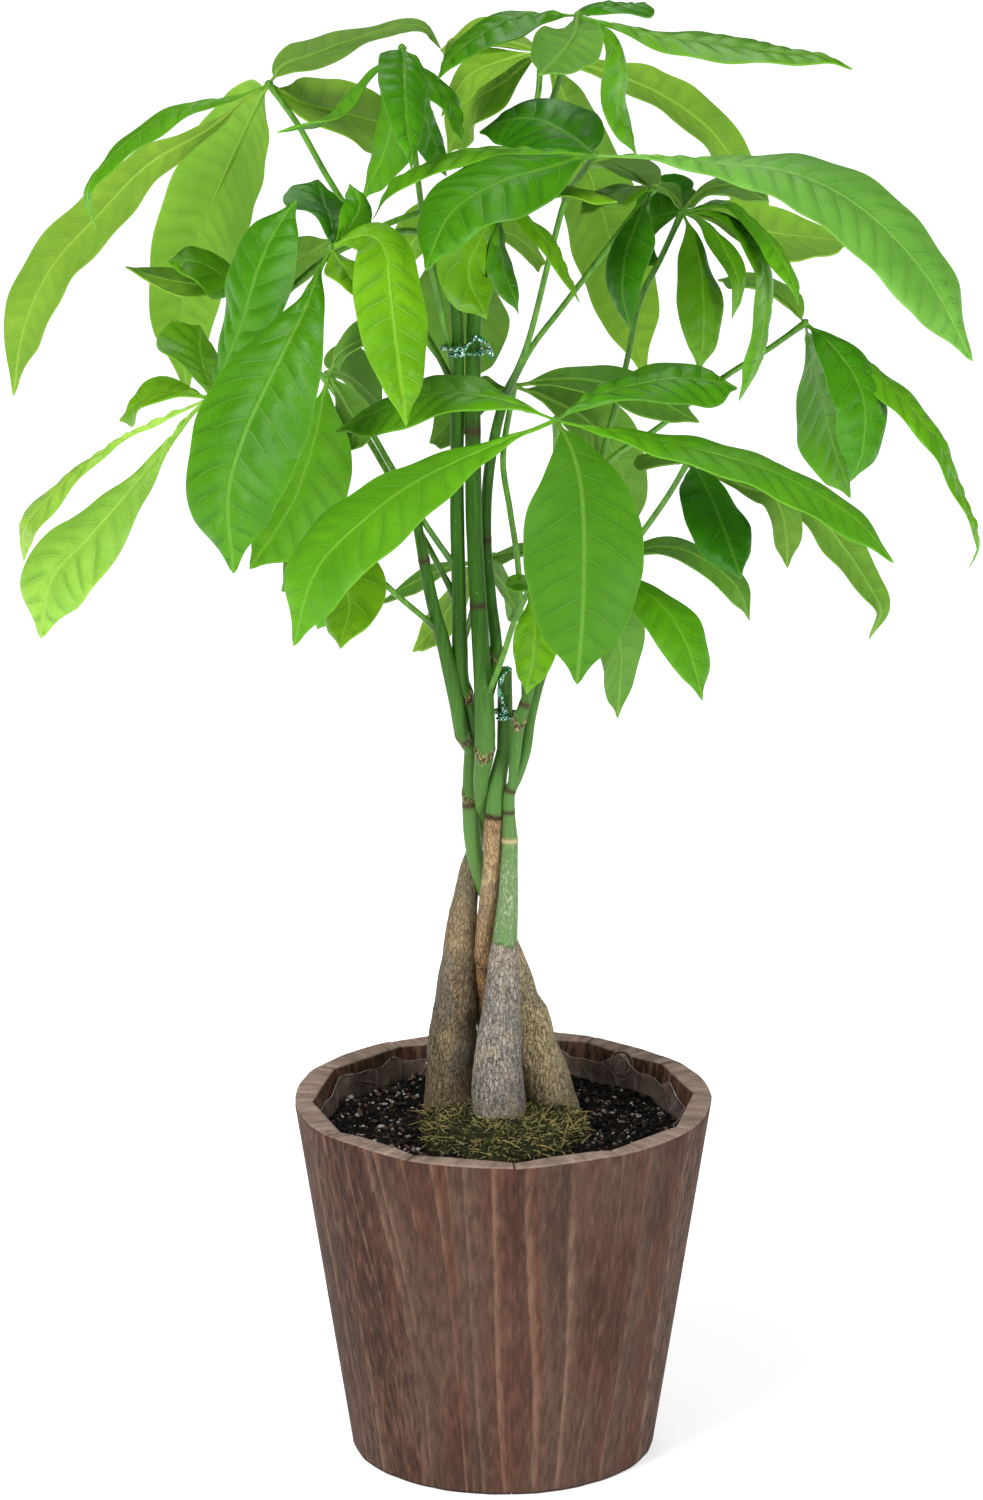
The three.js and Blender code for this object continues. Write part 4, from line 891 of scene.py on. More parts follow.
def sweep(bm, centres, widths, sides, spin=0.0, flat=1.0):
    """Extrudes a ring along centres, carried without twist but for spin per ring. Returns
    the rings' vertices, each ring in order round the centre."""
    circle = bmesh.ops.create_circle(bm, cap_ends=False, segments=sides, radius=1.0)["verts"]
    order = sorted(circle, key=angle_of)
    units = [v.co.copy() for v in order]
    edges = list({edge for v in order for edge in v.link_edges})
    side = Vector((1, 0, 0))
    rings = []
    for i, (centre, width, way) in enumerate(zip(centres, widths, ways(centres))):
        side = (side - way * side.dot(way)).normalized()
        across = way.cross(side)
        if i:
            fresh, edges = grow(bm, edges)
            nearest = {key_of(v): v for v in fresh}
            order = [nearest[key_of(v)] for v in order]
        sine, cosine = math.sin(spin * i), math.cos(spin * i)
        for vertex, unit in zip(order, units):
            x, y = unit.x * cosine - unit.y * sine * flat, unit.x * sine + unit.y * cosine * flat
            vertex.co = centre + (side * x + across * y) * width
        rings.append(order)
    for ring in (rings[0], rings[-1]):
        bm.faces.new(ring)
    return rings


def copies(bm, many):
    """Doubles what a bmesh holds until there are enough copies. Returns each copy's vertices."""
    each, made = len(bm.verts), 1
    while made < many:
        take = min(made, many - made)
        bm.verts.ensure_lookup_table()
        taken = bm.verts[:each * take]
        held = set(taken)
        parts = [part for kind in (bm.edges, bm.faces) for part in kind if part.verts[0] in held]
        bmesh.ops.duplicate(bm, geom=taken + parts)
        made += take
    bm.verts.ensure_lookup_table()
    return [bm.verts[each * i:each * (i + 1)] for i in range(many)]


# -------------------------------------------------------------------------------------- pot
HALF_STAVE = math.radians(15)
STAVE_ROWS = 40
STAVE_STEPS = 14
EASED = 0.9
EASED_BEND = math.radians(50)
MEAN_REACH = 60
RIM_WEAR = 0.12
RIDGES = ((9, 0.1, 0.4), (23, 0.1, 1.7), (41, 0.05, 0.3))
RIM_WAVE = ((5, 0.35, 0.6), (11, 0.18, 2.0), (23, 0.06, 0.9))


def waves(rows, angle):
    """The sum of sines of (count round the pot, height, phase)."""
    return sum(tall * math.sin(count * angle + phase) for count, tall, phase in rows)


def stave(pot, middle, finish, number):
    """One stave: its profile is spun round the pot's axis, then its inner face is flattened."""
    height, foot, rim = pot.height / MM, pot.foot / MM, pot.rim / MM
    inner_foot, inner_rim = pot.inner_foot / MM, pot.inner_rim / MM
    half = HALF_STAVE - pot.gap / MM / 2 / rim
    bm = bmesh.new()
    around = bm.verts.layers.float.new("around")
    corners = [(foot, 0), (rim, height), (inner_rim, height), (inner_foot, 0)]
    bm.faces.new([bm.verts.new((radius, 0, level)) for radius, level in corners])
    sides = [edge for edge in bm.edges if rise(edge) > 1]
    bmesh.ops.subdivide_edges(bm, edges=sides, cuts=STAVE_ROWS - 1)
    ends = [edge for edge in bm.edges if edge.is_boundary and rise(edge) < 1e-6]
    bmesh.ops.subdivide_edges(bm, edges=ends, cuts=3)
    bmesh.ops.rotate(bm, cent=(0, 0, 0), matrix=Matrix.Rotation(middle - half, 3, "Z"), verts=bm.verts)
    bmesh.ops.spin(
        bm, geom=bm.verts[:] + bm.edges[:] + bm.faces[:], cent=(0, 0, 0), axis=(0, 0, 1),
        angle=2 * half, steps=STAVE_STEPS, use_merge=False,
    )
    bmesh.ops.recalc_face_normals(bm, faces=bm.faces)
    for vertex in bm.verts:
        level, angle = vertex.co.z, angle_of(vertex)
        share = level / height
        turn = (angle - middle + math.pi) % math.tau - math.pi
        outer, inner = between(foot, rim, share), between(inner_foot, inner_rim, share)
        depth = (math.hypot(vertex.co.x, vertex.co.y) - inner) / (outer - inner)
        flat = inner * math.cos(HALF_STAVE) / math.cos(turn)
        reach = between(flat, outer + waves(RIDGES, angle) * depth, depth)
        worn = RIM_WEAR * smooth(0.9, 1, abs(turn) / half) * share ** 30
        vertex.co = polar(reach, angle, level + share ** 12 * waves(RIM_WAVE, angle) - worn)
        vertex[around] = angle * MEAN_REACH * MM
    bm.normal_update()
    eased = [edge for edge in bm.edges if rise(edge) < 1 and edge.calc_face_angle(0) > EASED_BEND]
    bmesh.ops.bevel(
        bm, geom=eased, offset=EASED, offset_type="OFFSET", segments=2, profile=0.5,
        affect="EDGES", material=-1, clamp_overlap=True,
    )
    node = f"stave_{number:02d}"
    add_piece(f"wood_{node}", bm, [finish], [node], sharp=55)


def lining_reach(pot, angle, level, clearance):
    """Distance in mm from the axis to the staves' flat inner faces, less a clearance."""
    corner = between(pot.inner_foot, pot.inner_rim, level * MM / pot.height) / MM
    turn = (angle - pot.first_joint) % (2 * HALF_STAVE) - HALF_STAVE
    return (corner * math.cos(HALF_STAVE) - clearance) / math.cos(turn)


def crease(angle, level):
    """How a crumpled film leans in, from 0 to 1."""
    folds = noise.noise(polar(3, angle, level * 0.06))
    sharp = 1 - abs(noise.noise(polar(4, angle, level * 0.09 + 7))) * 3
    return min(1.0, max(0.0, 0.45 + folds * 0.9 + 0.35 * max(0.0, sharp) - 0.2))


# The film lies on the staves up to its first loose level. Its peaks are (angle in degrees,
# half width in degrees, height).
FILM_SIDES = 240
FILM_LEVELS = (8.5, 30, 60, 85, 100, 106, 109, 111, 112, 113, 114, 115, 116, 117, 117.7, 118)
FILM_LOOSE = (111, 115)
FILM_MEAN = 117
FILM_THICKNESS = 0.25
FILM_PEAKS = (
    (48, 8, 5.0), (74, 7, 4.5), (20, 6, 3.2), (100, 9, 2.0), (150, 16, 2.4), (205, 12, 1.2), (128, 5, 2.6),
)


def film(pot, finish):
    """The film: a bag extruded upwards ring by ring, crumpled at its open edge."""
    bm = bmesh.new()
    edge = bm.verts.layers.float.new("edge")
    start, top = FILM_LOOSE[0], FILM_LEVELS[-1]
    for ring, level in zip(bag(bm, FILM_SIDES, len(FILM_LEVELS) - 1), FILM_LEVELS):
        loose = smooth(*FILM_LOOSE, level) * (level - start) / (top - start)
        for vertex in ring:
            angle = angle_of(vertex)
            peak = sum(tall * max(0.0, 1 - abs((math.degrees(angle) - at + 180) % 360 - 180) / wide)
                       for at, wide, tall in FILM_PEAKS)
            ragged = 0.5 * noise.noise(polar(5, angle, 3))
            at = level + loose * (peak + ragged + pot.film_top / MM - FILM_MEAN)
            clearance = 0.35 + crease(angle, level) * (0.35 + 2.2 * loose)
            vertex.co = polar(lining_reach(pot, angle, min(at, pot.height / MM), clearance), angle, at)
            vertex[edge] = float(level == top)
    bmesh.ops.recalc_face_normals(bm, faces=bm.faces)
    bmesh.ops.solidify(bm, geom=bm.faces[:], thickness=FILM_THICKNESS)
    add_piece("film_bag", bm, [finish], ["liner"], sharp=60)


# ---------------------------------------------------------------------------- soil and moss
SOIL_RINGS = 46
SOIL_SIDES = 150
SOIL_WALL = (9.3, 60, 106, 110)
SOIL_CLEARANCE = 1.3
CRUMB_CLEARANCE = 3.4
CRUMB_SEED = 11
CRUMB_STRETCH = ((0.6, 1.25), (0.6, 1.25), (0.5, 0.9))
PLAIN_CHANCE = 0.3
MOSS_RINGS = 26
MOSS_SIDES = 110
MOSS_CENTRE = Vector((0, -8))
MOSS_REACH = Vector((29, 27))
STRAND_SEED = 23
STRAND_LENGTH = (1.8, 4.2)
STRAND_WIDTH = (0.24, 0.46)


def soil_height(x, y):
    """Height in mm of the soil over its mean height."""
    return 1.1 * math.sin(x / 6) * math.cos(y / 7) + 0.44 * math.sin(x / 3 + y / 4)


def moss_lobes(angle):
    """How far the moss reaches at an angle, round 1."""
    sines = 0.05 * math.sin(3 * angle) + 0.04 * math.sin(7 * angle + 1)
    return 1 + sines + 0.05 * noise.noise(polar(4, angle, 2))


def moss_spot(share, angle):
    """The point of the moss at a share of its reach."""
    return MOSS_CENTRE + share * MOSS_REACH * Vector((math.cos(angle), math.sin(angle)))


def moss_top(ground, x, y):
    """Height in mm of the moss over a point, tufted."""
    dx, dy = (x - MOSS_CENTRE.x) / MOSS_REACH.x, (y - MOSS_CENTRE.y) / MOSS_REACH.y
    share = min(1.0, math.hypot(dx, dy) / moss_lobes(math.atan2(dy, dx)))
    tuft = 1.7 * lump(x / 4.5, y / 4.5, 1) + 1.3 * lump(x / 2, y / 2, 5)
    top = ground.soil_top / MM + 0.8 + ground.moss_height / MM * (1 - share ** 5)
    return top + tuft * (1 - share ** 6) - 1.2 * smooth(0.94, 1, share)


def soil(pot, ground, finish):
    """The soil: a plug of the pot's inner shape with an uneven crumbly top."""
    bm = bmesh.new()
    layers = layers_of(bm, "chance")
    rings = bag(bm, SOIL_SIDES, len(SOIL_WALL) - 1 + SOIL_RINGS)
    bm.faces.new(sorted(rings[-1], key=angle_of))
    for i, ring in enumerate(rings):
        inward = max(0, i + 1 - len(SOIL_WALL))
        for vertex in ring:
            angle = angle_of(vertex)
            level = SOIL_WALL[min(i, len(SOIL_WALL) - 1)]
            share = 1 - inward / (SOIL_RINGS + 1)
            spot = polar(lining_reach(pot, angle, level, SOIL_CLEARANCE) * share, angle, level)
            if inward:
                x, y = spot.xy
                lumps = 0.9 * lump(x / 2.2, y / 2.2, 1) + 0.6 * lump(x, y, 9)
                spot.z = ground.soil_top / MM + soil_height(x, y) + lumps
            vertex.co = spot
            put(vertex, layers, chance=PLAIN_CHANCE)
    bmesh.ops.recalc_face_normals(bm, faces=bm.faces)
    add_piece("soil_plug", bm, [finish], ["soil"], sharp=180)


def crumbs(pot, ground, finish):
    """Loose crumbs: small lumps of twenty faces strewn over the soil."""
    draw = random.Random(CRUMB_SEED)
    bm = bmesh.new()
    bmesh.ops.create_icosphere(bm, subdivisions=1, radius=1)
    layers = layers_of(bm, "chance")
    for verts in copies(bm, ground.crumbs):
        angle = draw.uniform(0, math.tau)
        reach = lining_reach(pot, angle, ground.soil_top / MM, CRUMB_CLEARANCE)
        spot = polar(reach * math.sqrt(draw.random()), angle)
        tone = draw.random()
        big = draw.uniform(0.3, 0.8) * (1.2 if 0.8 < tone < 0.96 else 0.8 if tone > 0.96 else 1)
        stretch = [draw.uniform(*share) * big for share in CRUMB_STRETCH]
        stretch[draw.randrange(2)] *= 1 + 1.3 * (draw.random() < 0.3)
        turn = Matrix.Rotation(draw.uniform(0, math.tau), 3, "Z")
        turn @= Matrix.Rotation(draw.uniform(-0.7, 0.7), 3, "X")
        spot.z = ground.soil_top / MM + soil_height(spot.x, spot.y) + draw.uniform(-0.1, 0.9) * big
        for vertex in verts:
            jog = 1 + 0.28 * noise.noise(vertex.co * 2 + spot)
            vertex.co = turn @ (vertex.co * Vector(stretch) * jog) + spot
            put(vertex, layers, chance=tone)
    add_piece("soil_crumbs", bm, [finish], [], sharp=30)


def moss_bed(ground, finish):
    """The moss cushion under the strands."""
    bm = bmesh.new()
    layers = layers_of(bm, "chance", "reach")
    rings = bag(bm, MOSS_SIDES, MOSS_RINGS)
    bm.faces.new(sorted(rings[-1], key=angle_of))
    for i, ring in enumerate(rings):
        share = 1 - max(0, i - 1) / MOSS_RINGS
        for vertex in ring:
            angle = angle_of(vertex)
            x, y = moss_spot(share * moss_lobes(angle), angle)
            vertex.co = (x, y, moss_top(ground, x, y) if i else ground.soil_top / MM - 5)
            put(vertex, layers, chance=PLAIN_CHANCE, reach=0.25 + 0.3 * lump(x / 2, y / 2, 5))
    bmesh.ops.recalc_face_normals(bm, faces=bm.faces)
    add_piece("moss_cushion", bm, [finish], ["moss"], sharp=180)


def strands(ground, finish):
    """Moss strands: bent threads, each a cone of a few faces, lying outwards and up."""
    draw = random.Random(STRAND_SEED)
    bm = bmesh.new()
    cone = bmesh.ops.create_cone(bm, cap_ends=True, segments=3, radius1=1, radius2=0.25, depth=1)["verts"]
    bmesh.ops.translate(bm, vec=(0, 0, 0.5), verts=cone)
    bmesh.ops.subdivide_edges(bm, edges=[edge for edge in bm.edges if rise(edge) > 0.5], cuts=2)
    layers = layers_of(bm, "chance", "reach")
    for verts in copies(bm, ground.strands):
        angle = draw.uniform(0, math.tau)
        share = math.sqrt(draw.random()) * 0.95
        x, y = moss_spot(share, angle)
        if angle > math.pi:
            y = between(MOSS_CENTRE.y, y, 1.08)
        dry = draw.random()
        tall = draw.uniform(*STRAND_LENGTH) * (2.2 if dry > 0.985 else 1)
        thin = draw.uniform(*STRAND_WIDTH)
        lean = polar(0.25 * share, angle) + Vector((draw.gauss(0, 0.9), draw.gauss(0, 0.9), 0))
        way = Vector((lean.x, lean.y, draw.uniform(0.1, 0.8))).normalized()
        side = way.orthogonal().normalized()
        across = way.cross(side)
        bend = Vector((draw.gauss(0, 0.5), draw.gauss(0, 0.5), -draw.uniform(0.1, 0.9)))
        tone = 0.95 if dry > 0.92 else draw.uniform(0, 0.85)
        root = Vector((x, y, moss_top(ground, x, y) - 0.7))
        for vertex in verts:
            up = vertex.co.z
            here = root + way * tall * up + bend * tall * 0.4 * up * up
            put(vertex, layers, chance=tone, reach=0.15 + 0.85 * up)
            vertex.co = here + (side * vertex.co.x + across * vertex.co.y) * thin
    add_piece("moss_strands", bm, [finish], [], sharp=180)


# ------------------------------------------------------------------------- trunks and ties
TRUNK_STEPS = 11
TRUNK_SIDES = 26
SAG = 9
SWELLS = {"crust": 0.35, "dark": 0.1, "pale": 0.3, "flake": 0.15, "frost": 0}


def trunk(name, finish):
    """A trunk: each limb is extruded along its route, then swollen at its scars and grained."""
    bm = bmesh.new()
    layers = layers_of(bm, "bark", *SWELLS)
    for limb, (ground, marks) in zip(TRUNKS[name], SKINS[name]):
        points = [sight(place[:3]) for place in limb]
        stations = [divmod(i, TRUNK_STEPS) for i in range((len(limb) - 1) * TRUNK_STEPS)]
        stations = [(span, k / TRUNK_STEPS) for span, k in stations] + [(len(limb) - 2, 1.0)]
        centres = [knot(points, span, share) for span, share in stations]
        radii = [between(limb[span][3], limb[span + 1][3], share) for span, share in stations]
        rings = sweep(bm, centres, radii, TRUNK_SIDES)
        for ring, centre, radius, (span, share) in zip(rings, centres, radii, stations):
            row = between(limb[span][1], limb[span + 1][1], share)
            woody = smooth(ground - 14, ground + 14, row) if ground < NO_BARK else 0.0
            for vertex in ring:
                x, y, z = vertex.co
                out = (vertex.co - centre).normalized()
                fine = noise.fractal(Vector((x / 3.2, y / 3.2, z / 9)), 0.9, 2.1, 4)
                swell = woody * fine * min(radius, 5) * 0.066 + 0.04 * radius * noise.noise(vertex.co / 11)
                values = dict.fromkeys(SWELLS, 0.0)
                sag = SAG * (0.5 - ((x - centre.x) / radius) ** 2)
                for middle, half, kind in marks:
                    if kind == "crust":
                        middle, half = middle + sag, half * 0.55
                    near = math.exp(-((row - middle) / half) ** 2)
                    values[kind] = max(values[kind], near)
                    lumpy = 0.45 * noise.noise(vertex.co * 0.9) if kind in ("crust", "flake") else 0
                    swell += near * (SWELLS[kind] + lumpy)
                vertex.co += out * swell
                put(vertex, layers, bark=woody, **values)
    bmesh.ops.recalc_face_normals(bm, faces=bm.faces)
    add_piece(f"braid_{name}", bm, [finish], [name], sharp=60)


TIE_TURNS = 1.12
TIE_RISE = 2.0
TIE_HALF = 0.95
COIL_STEPS = 40
TIE_STEPS = 150
TIE_SPIN = 0.16


def tie(name, finish):
    """A twist tie: a flat foil ribbon twisted along a coil and its tail."""
    centre, (across, deep), tail = TIES[name]
    route = []
    for step in range(COIL_STEPS + 1):
        share = step / COIL_STEPS
        angle = -math.pi / 2 + math.tau * (TIE_TURNS * (share - 1) + 1)
        turn = Vector((across * math.cos(angle), deep * math.sin(angle), TIE_RISE * share))
        route.append(sight(centre) + turn)
    bm = bmesh.new()
    stations, length = walk(route + [sight(place) for place in tail], TIE_STEPS)
    sweep(bm, stations, [TIE_HALF] * len(stations), 8, spin=TIE_SPIN, flat=0.5)
    bmesh.ops.recalc_face_normals(bm, faces=bm.faces)
    add_piece(f"foil_{name}", bm, [finish], [name], sharp=35)


# ----------------------------------------------------------------------------------- leaves
BLADE_COLUMNS = 14
BLADE_STEP = 1.5
STALK = 0.05
FOLD = math.tan(math.radians(-2))
WAVE = (1.3, 7)
HUB = 1.5
UNDERSIDES = ("pale", "dusky")
MATTE = {"pale": 1.0, "dusky": 1.0, "rich": 0.6, "fresh": 0.5, "sheen": 0.3}
RELIEF = {
    "deep": 1.6, "green": 2.2, "leaf": 1.5, "fresh": 1.1, "rich": 0.8, "lime": 1.6, "mint": 1.8,
    "sheen": 1.9, "pale": 0.55, "dusky": 0.75,
}


def half_width(row, share):
    """Half the width in mm of a leaflet at a share of its length."""
    skew = math.log(0.5) / math.log(row["fullest"])
    swell = max(0.0, math.sin(math.pi * max(0.0, (share - STALK) / (1 - STALK)) ** skew))
    fall = 1.0 if share < row["fullest"] else 0.68
    drawn = 1 - 0.5 * smooth(0.85, 0.97, share)
    tip = 0.5 * (1 - share) ** 0.5 + 0.08
    return max(row["wide"] / 2 * swell ** fall * drawn, between(0.8, tip, share))


def roll_frame(way, outward, roll):
    """A leaflet's normal and side where it runs along way, its face turned up by roll."""
    facing = (way * AHEAD.dot(way) - AHEAD).normalized()
    normal = facing * math.cos(roll) + way.cross(facing) * outward * math.sin(roll)
    return normal, normal.cross(way)


def leaflet(bm, layers, leaf, hub, row, place, seed):
    """One leaflet: a grid laid along its rib, quilted between its veins, then thickened."""
    wide, tone, path = row["wide"], row["tone"], row["path"]
    points = [hub] + [sight(spot) for spot in path]
    outward = -1 if path[-1][0] >= path[0][0] else 1
    bow = -1 if tone in UNDERSIDES else 1
    count = max(18, round((points[-1] - points[0]).length / BLADE_STEP))
    stations, length = walk(points, count)
    draw = random.Random(seed)
    colours = {
        "tint": (*(channel * draw.uniform(0.93, 1.07) for channel in getattr(leaf, tone)), 1),
        "matte": MATTE.get(tone, 0.0),
    }
    step = leaf.vein_step / MM * (0.8 + 0.2 * min(1.0, wide / 28))
    thick = leaf.thickness / MM
    quilt = leaf.quilting / MM * min(1.0, wide / 22) * RELIEF[tone]
    sway = draw.uniform(0, 6)
    grid = bmesh.ops.create_grid(bm, x_segments=BLADE_COLUMNS, y_segments=count, size=1)["verts"]
    spine = []
    for i, (spot, way) in enumerate(zip(stations, ways(stations))):
        share = i / count
        normal, side = roll_frame(way, outward, between(*row["rolls"], share))
        spine.append((spot, normal, side, half_width(row, share), share))
    for vertex in grid:
        spot, normal, side, half, share = spine[round((vertex.co.y + 1) / 2 * count)]
        across = math.copysign(abs(vertex.co.x) ** 1.15, -vertex.co.x)
        out, at = abs(across), share * length
        x = across * half * (1 + 0.035 * lump(share * 9, across * 3, sway) * smooth(0.4, 1, out))
        wave = WAVE[0] * min(1.0, 2 * half / wide) * math.sin(WAVE[1] * share + 1.7 * place + across)
        full = smooth(0.03, 0.16, share) * (1 - smooth(0.86, 1, share))
        arch = abs(x) * 0.42 + x * x / (2.2 * wide)
        uneven = 0.35 * lump(at / 17, math.copysign(3, across), sway)
        phase = (at - arch) / step + uneven + (0.5 if across < 0 else 0)
        raised = abs(math.sin(math.pi * phase)) ** 0.8 * (1 - out ** 3) * smooth(0, 0.35, out)
        patchy = 0.75 + 0.6 * lump(at / 11, across * 2, sway + 9)
        lift = out * (half * FOLD + wave) - bow * 0.07 * half * across * across
        lift += full * bow * quilt * patchy * raised
        lift += full * 0.5 * lump(share * 5, across * 1.5, sway + 3)
        lift += full * 0.45 * out ** 3 * math.sin(at / 3.4 + sway)
        vertex.co = spot + side * x + normal * (lift + thick / 2)
        put(vertex, layers, rib=x, vein=phase, edge=out, **colours)
    sheet = list({face for vertex in grid for face in vertex.link_faces})
    bmesh.ops.solidify(bm, geom=sheet, thickness=thick)
    older = set(bm.verts)
    thins = [min(0.85 * (1 - share) ** 0.8 + 0.1, 0.12 + 0.3 * half) for *others, half, share in spine]
    centres = [
        spot - normal * bow * (radius * 0.55 - thick * 0.1) * smooth(0.0, 0.05, share)
        for (spot, normal, side, half, share), radius in zip(spine, thins)
    ]
    sweep(bm, centres[:-2], thins[:-2], 8)
    for vertex in set(bm.verts) - older:
        put(vertex, layers, **colours)


def leaf_piece(number, leaf, finishes):
    """A leaf: its leaflets, their hub and its stalk, grown as one piece."""
    stalk, *blades = LEAVES[number - 1]
    bm = bmesh.new()
    layers = layers_of(bm, "rib", "vein", "edge", "matte", "base")
    layers["tint"] = bm.verts.layers.float_color.new("tint")
    points = [sight(spot) for spot in stalk]
    for place, row in enumerate(blades):
        leaflet(bm, layers, leaf, points[0], row, place, 100 * number + place)
    done = set(bm.faces)
    count = max(16, round(sum((b - a).length for a, b in zip(points, points[1:])) / 3))
    stations, length = walk(points, count)
    shares = [i / count for i in range(count + 1)]
    widths = [1.0 + 0.45 * smooth(0.9, 1, share) + 0.25 * smooth(0.06, 0, share) for share in shares]
    for share, ring in zip(shares, sweep(bm, stations, widths, 12)):
        for vertex in ring:
            put(vertex, layers, base=smooth(0.8, 1, share))
    for vertex in bmesh.ops.create_icosphere(bm, subdivisions=3, radius=HUB)["verts"]:
        vertex.co = points[0] + vertex.co * (0.92 + 0.25 * noise.noise(vertex.co * 0.9 + points[0]))
    others = [face for face in bm.faces if face not in done]
    for face in others:
        face.material_index = 1
    bmesh.ops.recalc_face_normals(bm, faces=others)
    node = f"leaf_{number:02d}"
    add_piece(f"palm_{node}", bm, finishes, [node], sharp=50)


# -------------------------------------------------------------------------------- operators
class MoneyTreeOperator(bpy.types.Operator):
    """Shared by every maker of a piece."""

    bl_options = {"REGISTER", "UNDO"}


class MONEYTREE_OT_pot(MoneyTreeOperator):
    """Make the twelve staves and finish the base disc"""

    bl_idname = "moneytree.pot"
    bl_label = "Pot of staves"

    def execute(self, context):
        pot = context.scene.money_tree_pot
        finish = wood_finish(pot)
        for i in range(pot.staves):
            stave(pot, pot.first_joint + HALF_STAVE * (2 * i + 1), finish, i + 1)
        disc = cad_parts["base_disc"]
        disc.data.materials.clear()
        disc.data.materials.append(disc_finish(pot))
        return {"FINISHED"}


class MONEYTREE_OT_film(MoneyTreeOperator):
    """Make the clear film that lines the pot"""

    bl_idname = "moneytree.film"
    bl_label = "Film"

    def execute(self, context):
        pot = context.scene.money_tree_pot
        film(pot, film_finish(pot))
        return {"FINISHED"}


class MONEYTREE_OT_soil(MoneyTreeOperator):
    """Make the soil and its loose crumbs"""

    bl_idname = "moneytree.soil"
    bl_label = "Soil"

    def execute(self, context):
        pot, ground = context.scene.money_tree_pot, context.scene.money_tree_ground
        soil(pot, ground, soil_finish(ground))
        crumbs(pot, ground, crumb_finish(ground))
        return {"FINISHED"}


class MONEYTREE_OT_moss(MoneyTreeOperator):
    """Make the moss cushion and its strands"""

    bl_idname = "moneytree.moss"
    bl_label = "Moss"

    def execute(self, context):
        ground = context.scene.money_tree_ground
        finish = moss_finish(ground)
        moss_bed(ground, finish)
        strands(ground, finish)
        return {"FINISHED"}


class MONEYTREE_OT_trunks(MoneyTreeOperator):
    """Make the four braided trunks"""

    bl_idname = "moneytree.trunks"
    bl_label = "Trunks"

    def execute(self, context):
        colours = context.scene.money_tree_trunk
        for name in TRUNKS:
            side = name.split("_")[1]
            trunk(name, bark_finish(colours, f"bark_{side}", getattr(colours, side)))
        return {"FINISHED"}


class MONEYTREE_OT_ties(MoneyTreeOperator):
    """Make the foil twist ties"""

    bl_idname = "moneytree.ties"
    bl_label = "Ties"

    def execute(self, context):
        finish = tie_finish(context.scene.money_tree_trunk)
        for name in TIES:
            tie(name, finish)
        return {"FINISHED"}


class MONEYTREE_OT_leaves(MoneyTreeOperator):
    """Make the leaves"""

    bl_idname = "moneytree.leaves"
    bl_label = "Leaves"

    def execute(self, context):
        finishes = [leaf_finish(), stalk_finish(context.scene.money_tree_trunk)]
        for number in range(1, len(LEAVES) + 1):
            leaf_piece(number, context.scene.money_tree_leaf, finishes)
        return {"FINISHED"}


# The area lights are (place, share of the power).
KEY_FROM = Vector((-1.35, -1.65, 3.0))
WINDOWS = (
    (Vector((-1.2, -1.3, 0.95)), 1.0), (Vector((1.25, -1.3, 0.75)), 1.3), (Vector((0.1, 1.3, 1.7)), 0.4),
)
WINDOW_SIZE = 0.7
LIGHT_AIM = Vector((0.0, 0.0, 0.3))
SENSOR = 36


def add_light(name, kind, place, **settings):
    """Adds a light that shines from a place at the plant."""
    lamp = bpy.data.lights.new(name, kind)
    for key, value in settings.items():
        setattr(lamp, key, value)
    light = bpy.data.objects.new(name, lamp)
    light.location = place
    light.rotation_euler = (LIGHT_AIM - place).to_track_quat("-Z", "Y").to_euler()
    bpy.context.scene.collection.objects.link(light)


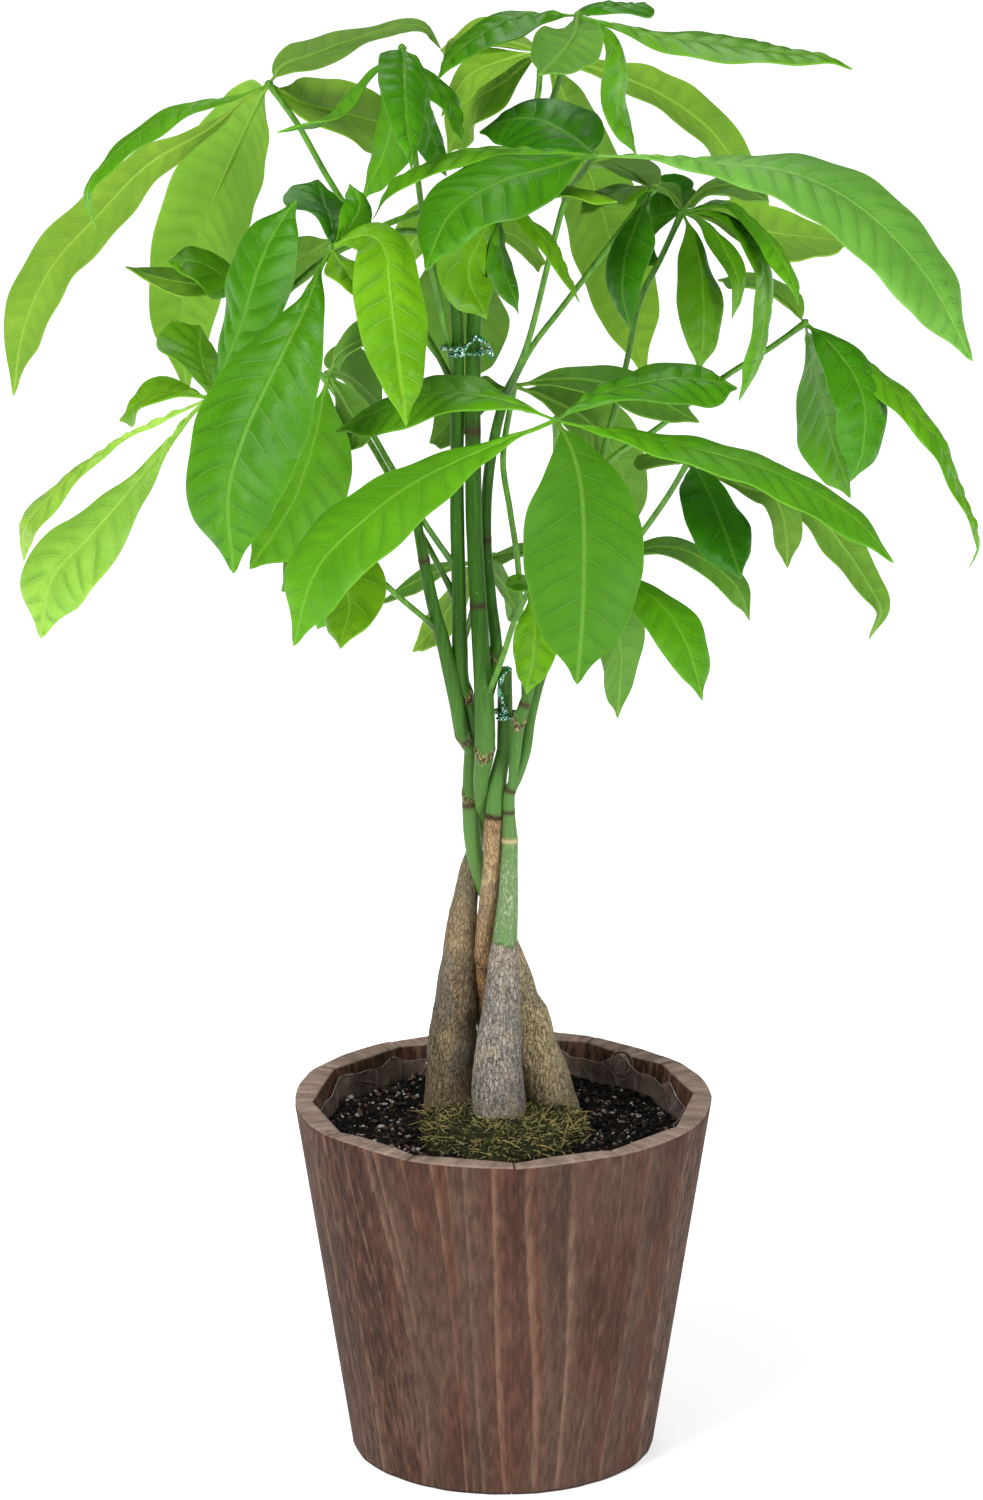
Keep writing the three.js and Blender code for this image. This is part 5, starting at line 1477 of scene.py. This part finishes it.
class MONEYTREE_OT_stage(MoneyTreeOperator):
    """Make the floor, the lights and the camera"""

    bl_idname = "moneytree.stage"
    bl_label = "Stage"

    def execute(self, context):
        scene, stage = context.scene, context.scene.money_tree_stage
        bm = bmesh.new()
        bmesh.ops.create_circle(bm, cap_ends=True, segments=96, radius=stage.floor_radius)
        mesh = bpy.data.meshes.new("floor")
        bm.to_mesh(mesh)
        bm.free()
        finish = Finish(
            "pale_floor", base_color=stage.floor, roughness=0.9, specular_ior_level=0.1,
            emission_color=(1, 1, 1), emission_strength=stage.glow,
        )
        mesh.materials.append(finish.material)
        floor = bpy.data.objects.new("floor", mesh)
        scene.collection.objects.link(floor)
        add_light("key", "SUN", KEY_FROM, energy=stage.key, angle=stage.key_size)
        for i, (place, share) in enumerate(WINDOWS):
            power = stage.windows * share
            add_light(f"window_{i + 1}", "AREA", place, energy=power, shape="SQUARE", size=WINDOW_SIZE)
        scene.world = bpy.data.worlds.new("studio")
        scene.world.use_nodes = True
        tree = scene.world.node_tree
        sky = tree.nodes["Background"].inputs
        sky["Color"].default_value = (1, 1, 1, 1)
        path = tree.nodes.new("ShaderNodeLightPath").outputs["Is Glossy Ray"]
        dimmed = tree.nodes.new("ShaderNodeMapRange")
        dimmed.inputs["To Min"].default_value = stage.sky
        dimmed.inputs["To Max"].default_value = stage.sky * stage.gloss
        tree.links.new(path, dimmed.inputs["Value"])
        tree.links.new(dimmed.outputs[0], sky["Strength"])
        lens = bpy.data.cameras.new("camera")
        lens.lens, lens.sensor_width = FOCAL / FRAME[1] * SENSOR, SENSOR
        camera = bpy.data.objects.new("camera", lens)
        camera.location = EYE * MM
        camera.rotation_euler = (math.pi / 2 - PITCH, 0, 0)
        scene.collection.objects.link(camera)
        scene.camera = camera
        scene.view_settings.view_transform = "Standard"
        return {"FINISHED"}


MAKERS = (
    MONEYTREE_OT_stage, MONEYTREE_OT_pot, MONEYTREE_OT_film, MONEYTREE_OT_soil, MONEYTREE_OT_moss,
    MONEYTREE_OT_trunks, MONEYTREE_OT_ties, MONEYTREE_OT_leaves,
)


class MONEYTREE_PT_pieces(bpy.types.Panel):
    """Lists the makers of the money tree's pieces"""

    bl_label = "Money tree"
    bl_space_type = "VIEW_3D"
    bl_region_type = "UI"
    bl_category = "Money tree"

    def draw(self, context):
        for maker in MAKERS:
            self.layout.operator(maker.bl_idname)


GROUPS = {
    "money_tree_pot": MoneyTreePot, "money_tree_ground": MoneyTreeGround,
    "money_tree_trunk": MoneyTreeTrunk, "money_tree_leaf": MoneyTreeLeaf, "money_tree_stage": MoneyTreeStage,
}


def register():
    for kind in (*GROUPS.values(), *MAKERS, MONEYTREE_PT_pieces):
        bpy.utils.register_class(kind)
    for name, group in GROUPS.items():
        setattr(bpy.types.Scene, name, PointerProperty(type=group))


def unregister():
    for name in GROUPS:
        delattr(bpy.types.Scene, name)
    for kind in (MONEYTREE_PT_pieces, *MAKERS, *GROUPS.values()):
        bpy.utils.unregister_class(kind)


def main():
    """Makes every piece and the stage."""
    register()
    for maker in MAKERS:
        family, name = maker.bl_idname.split(".")
        getattr(getattr(bpy.ops, family), name)()


if __name__ == "__main__":
    main()
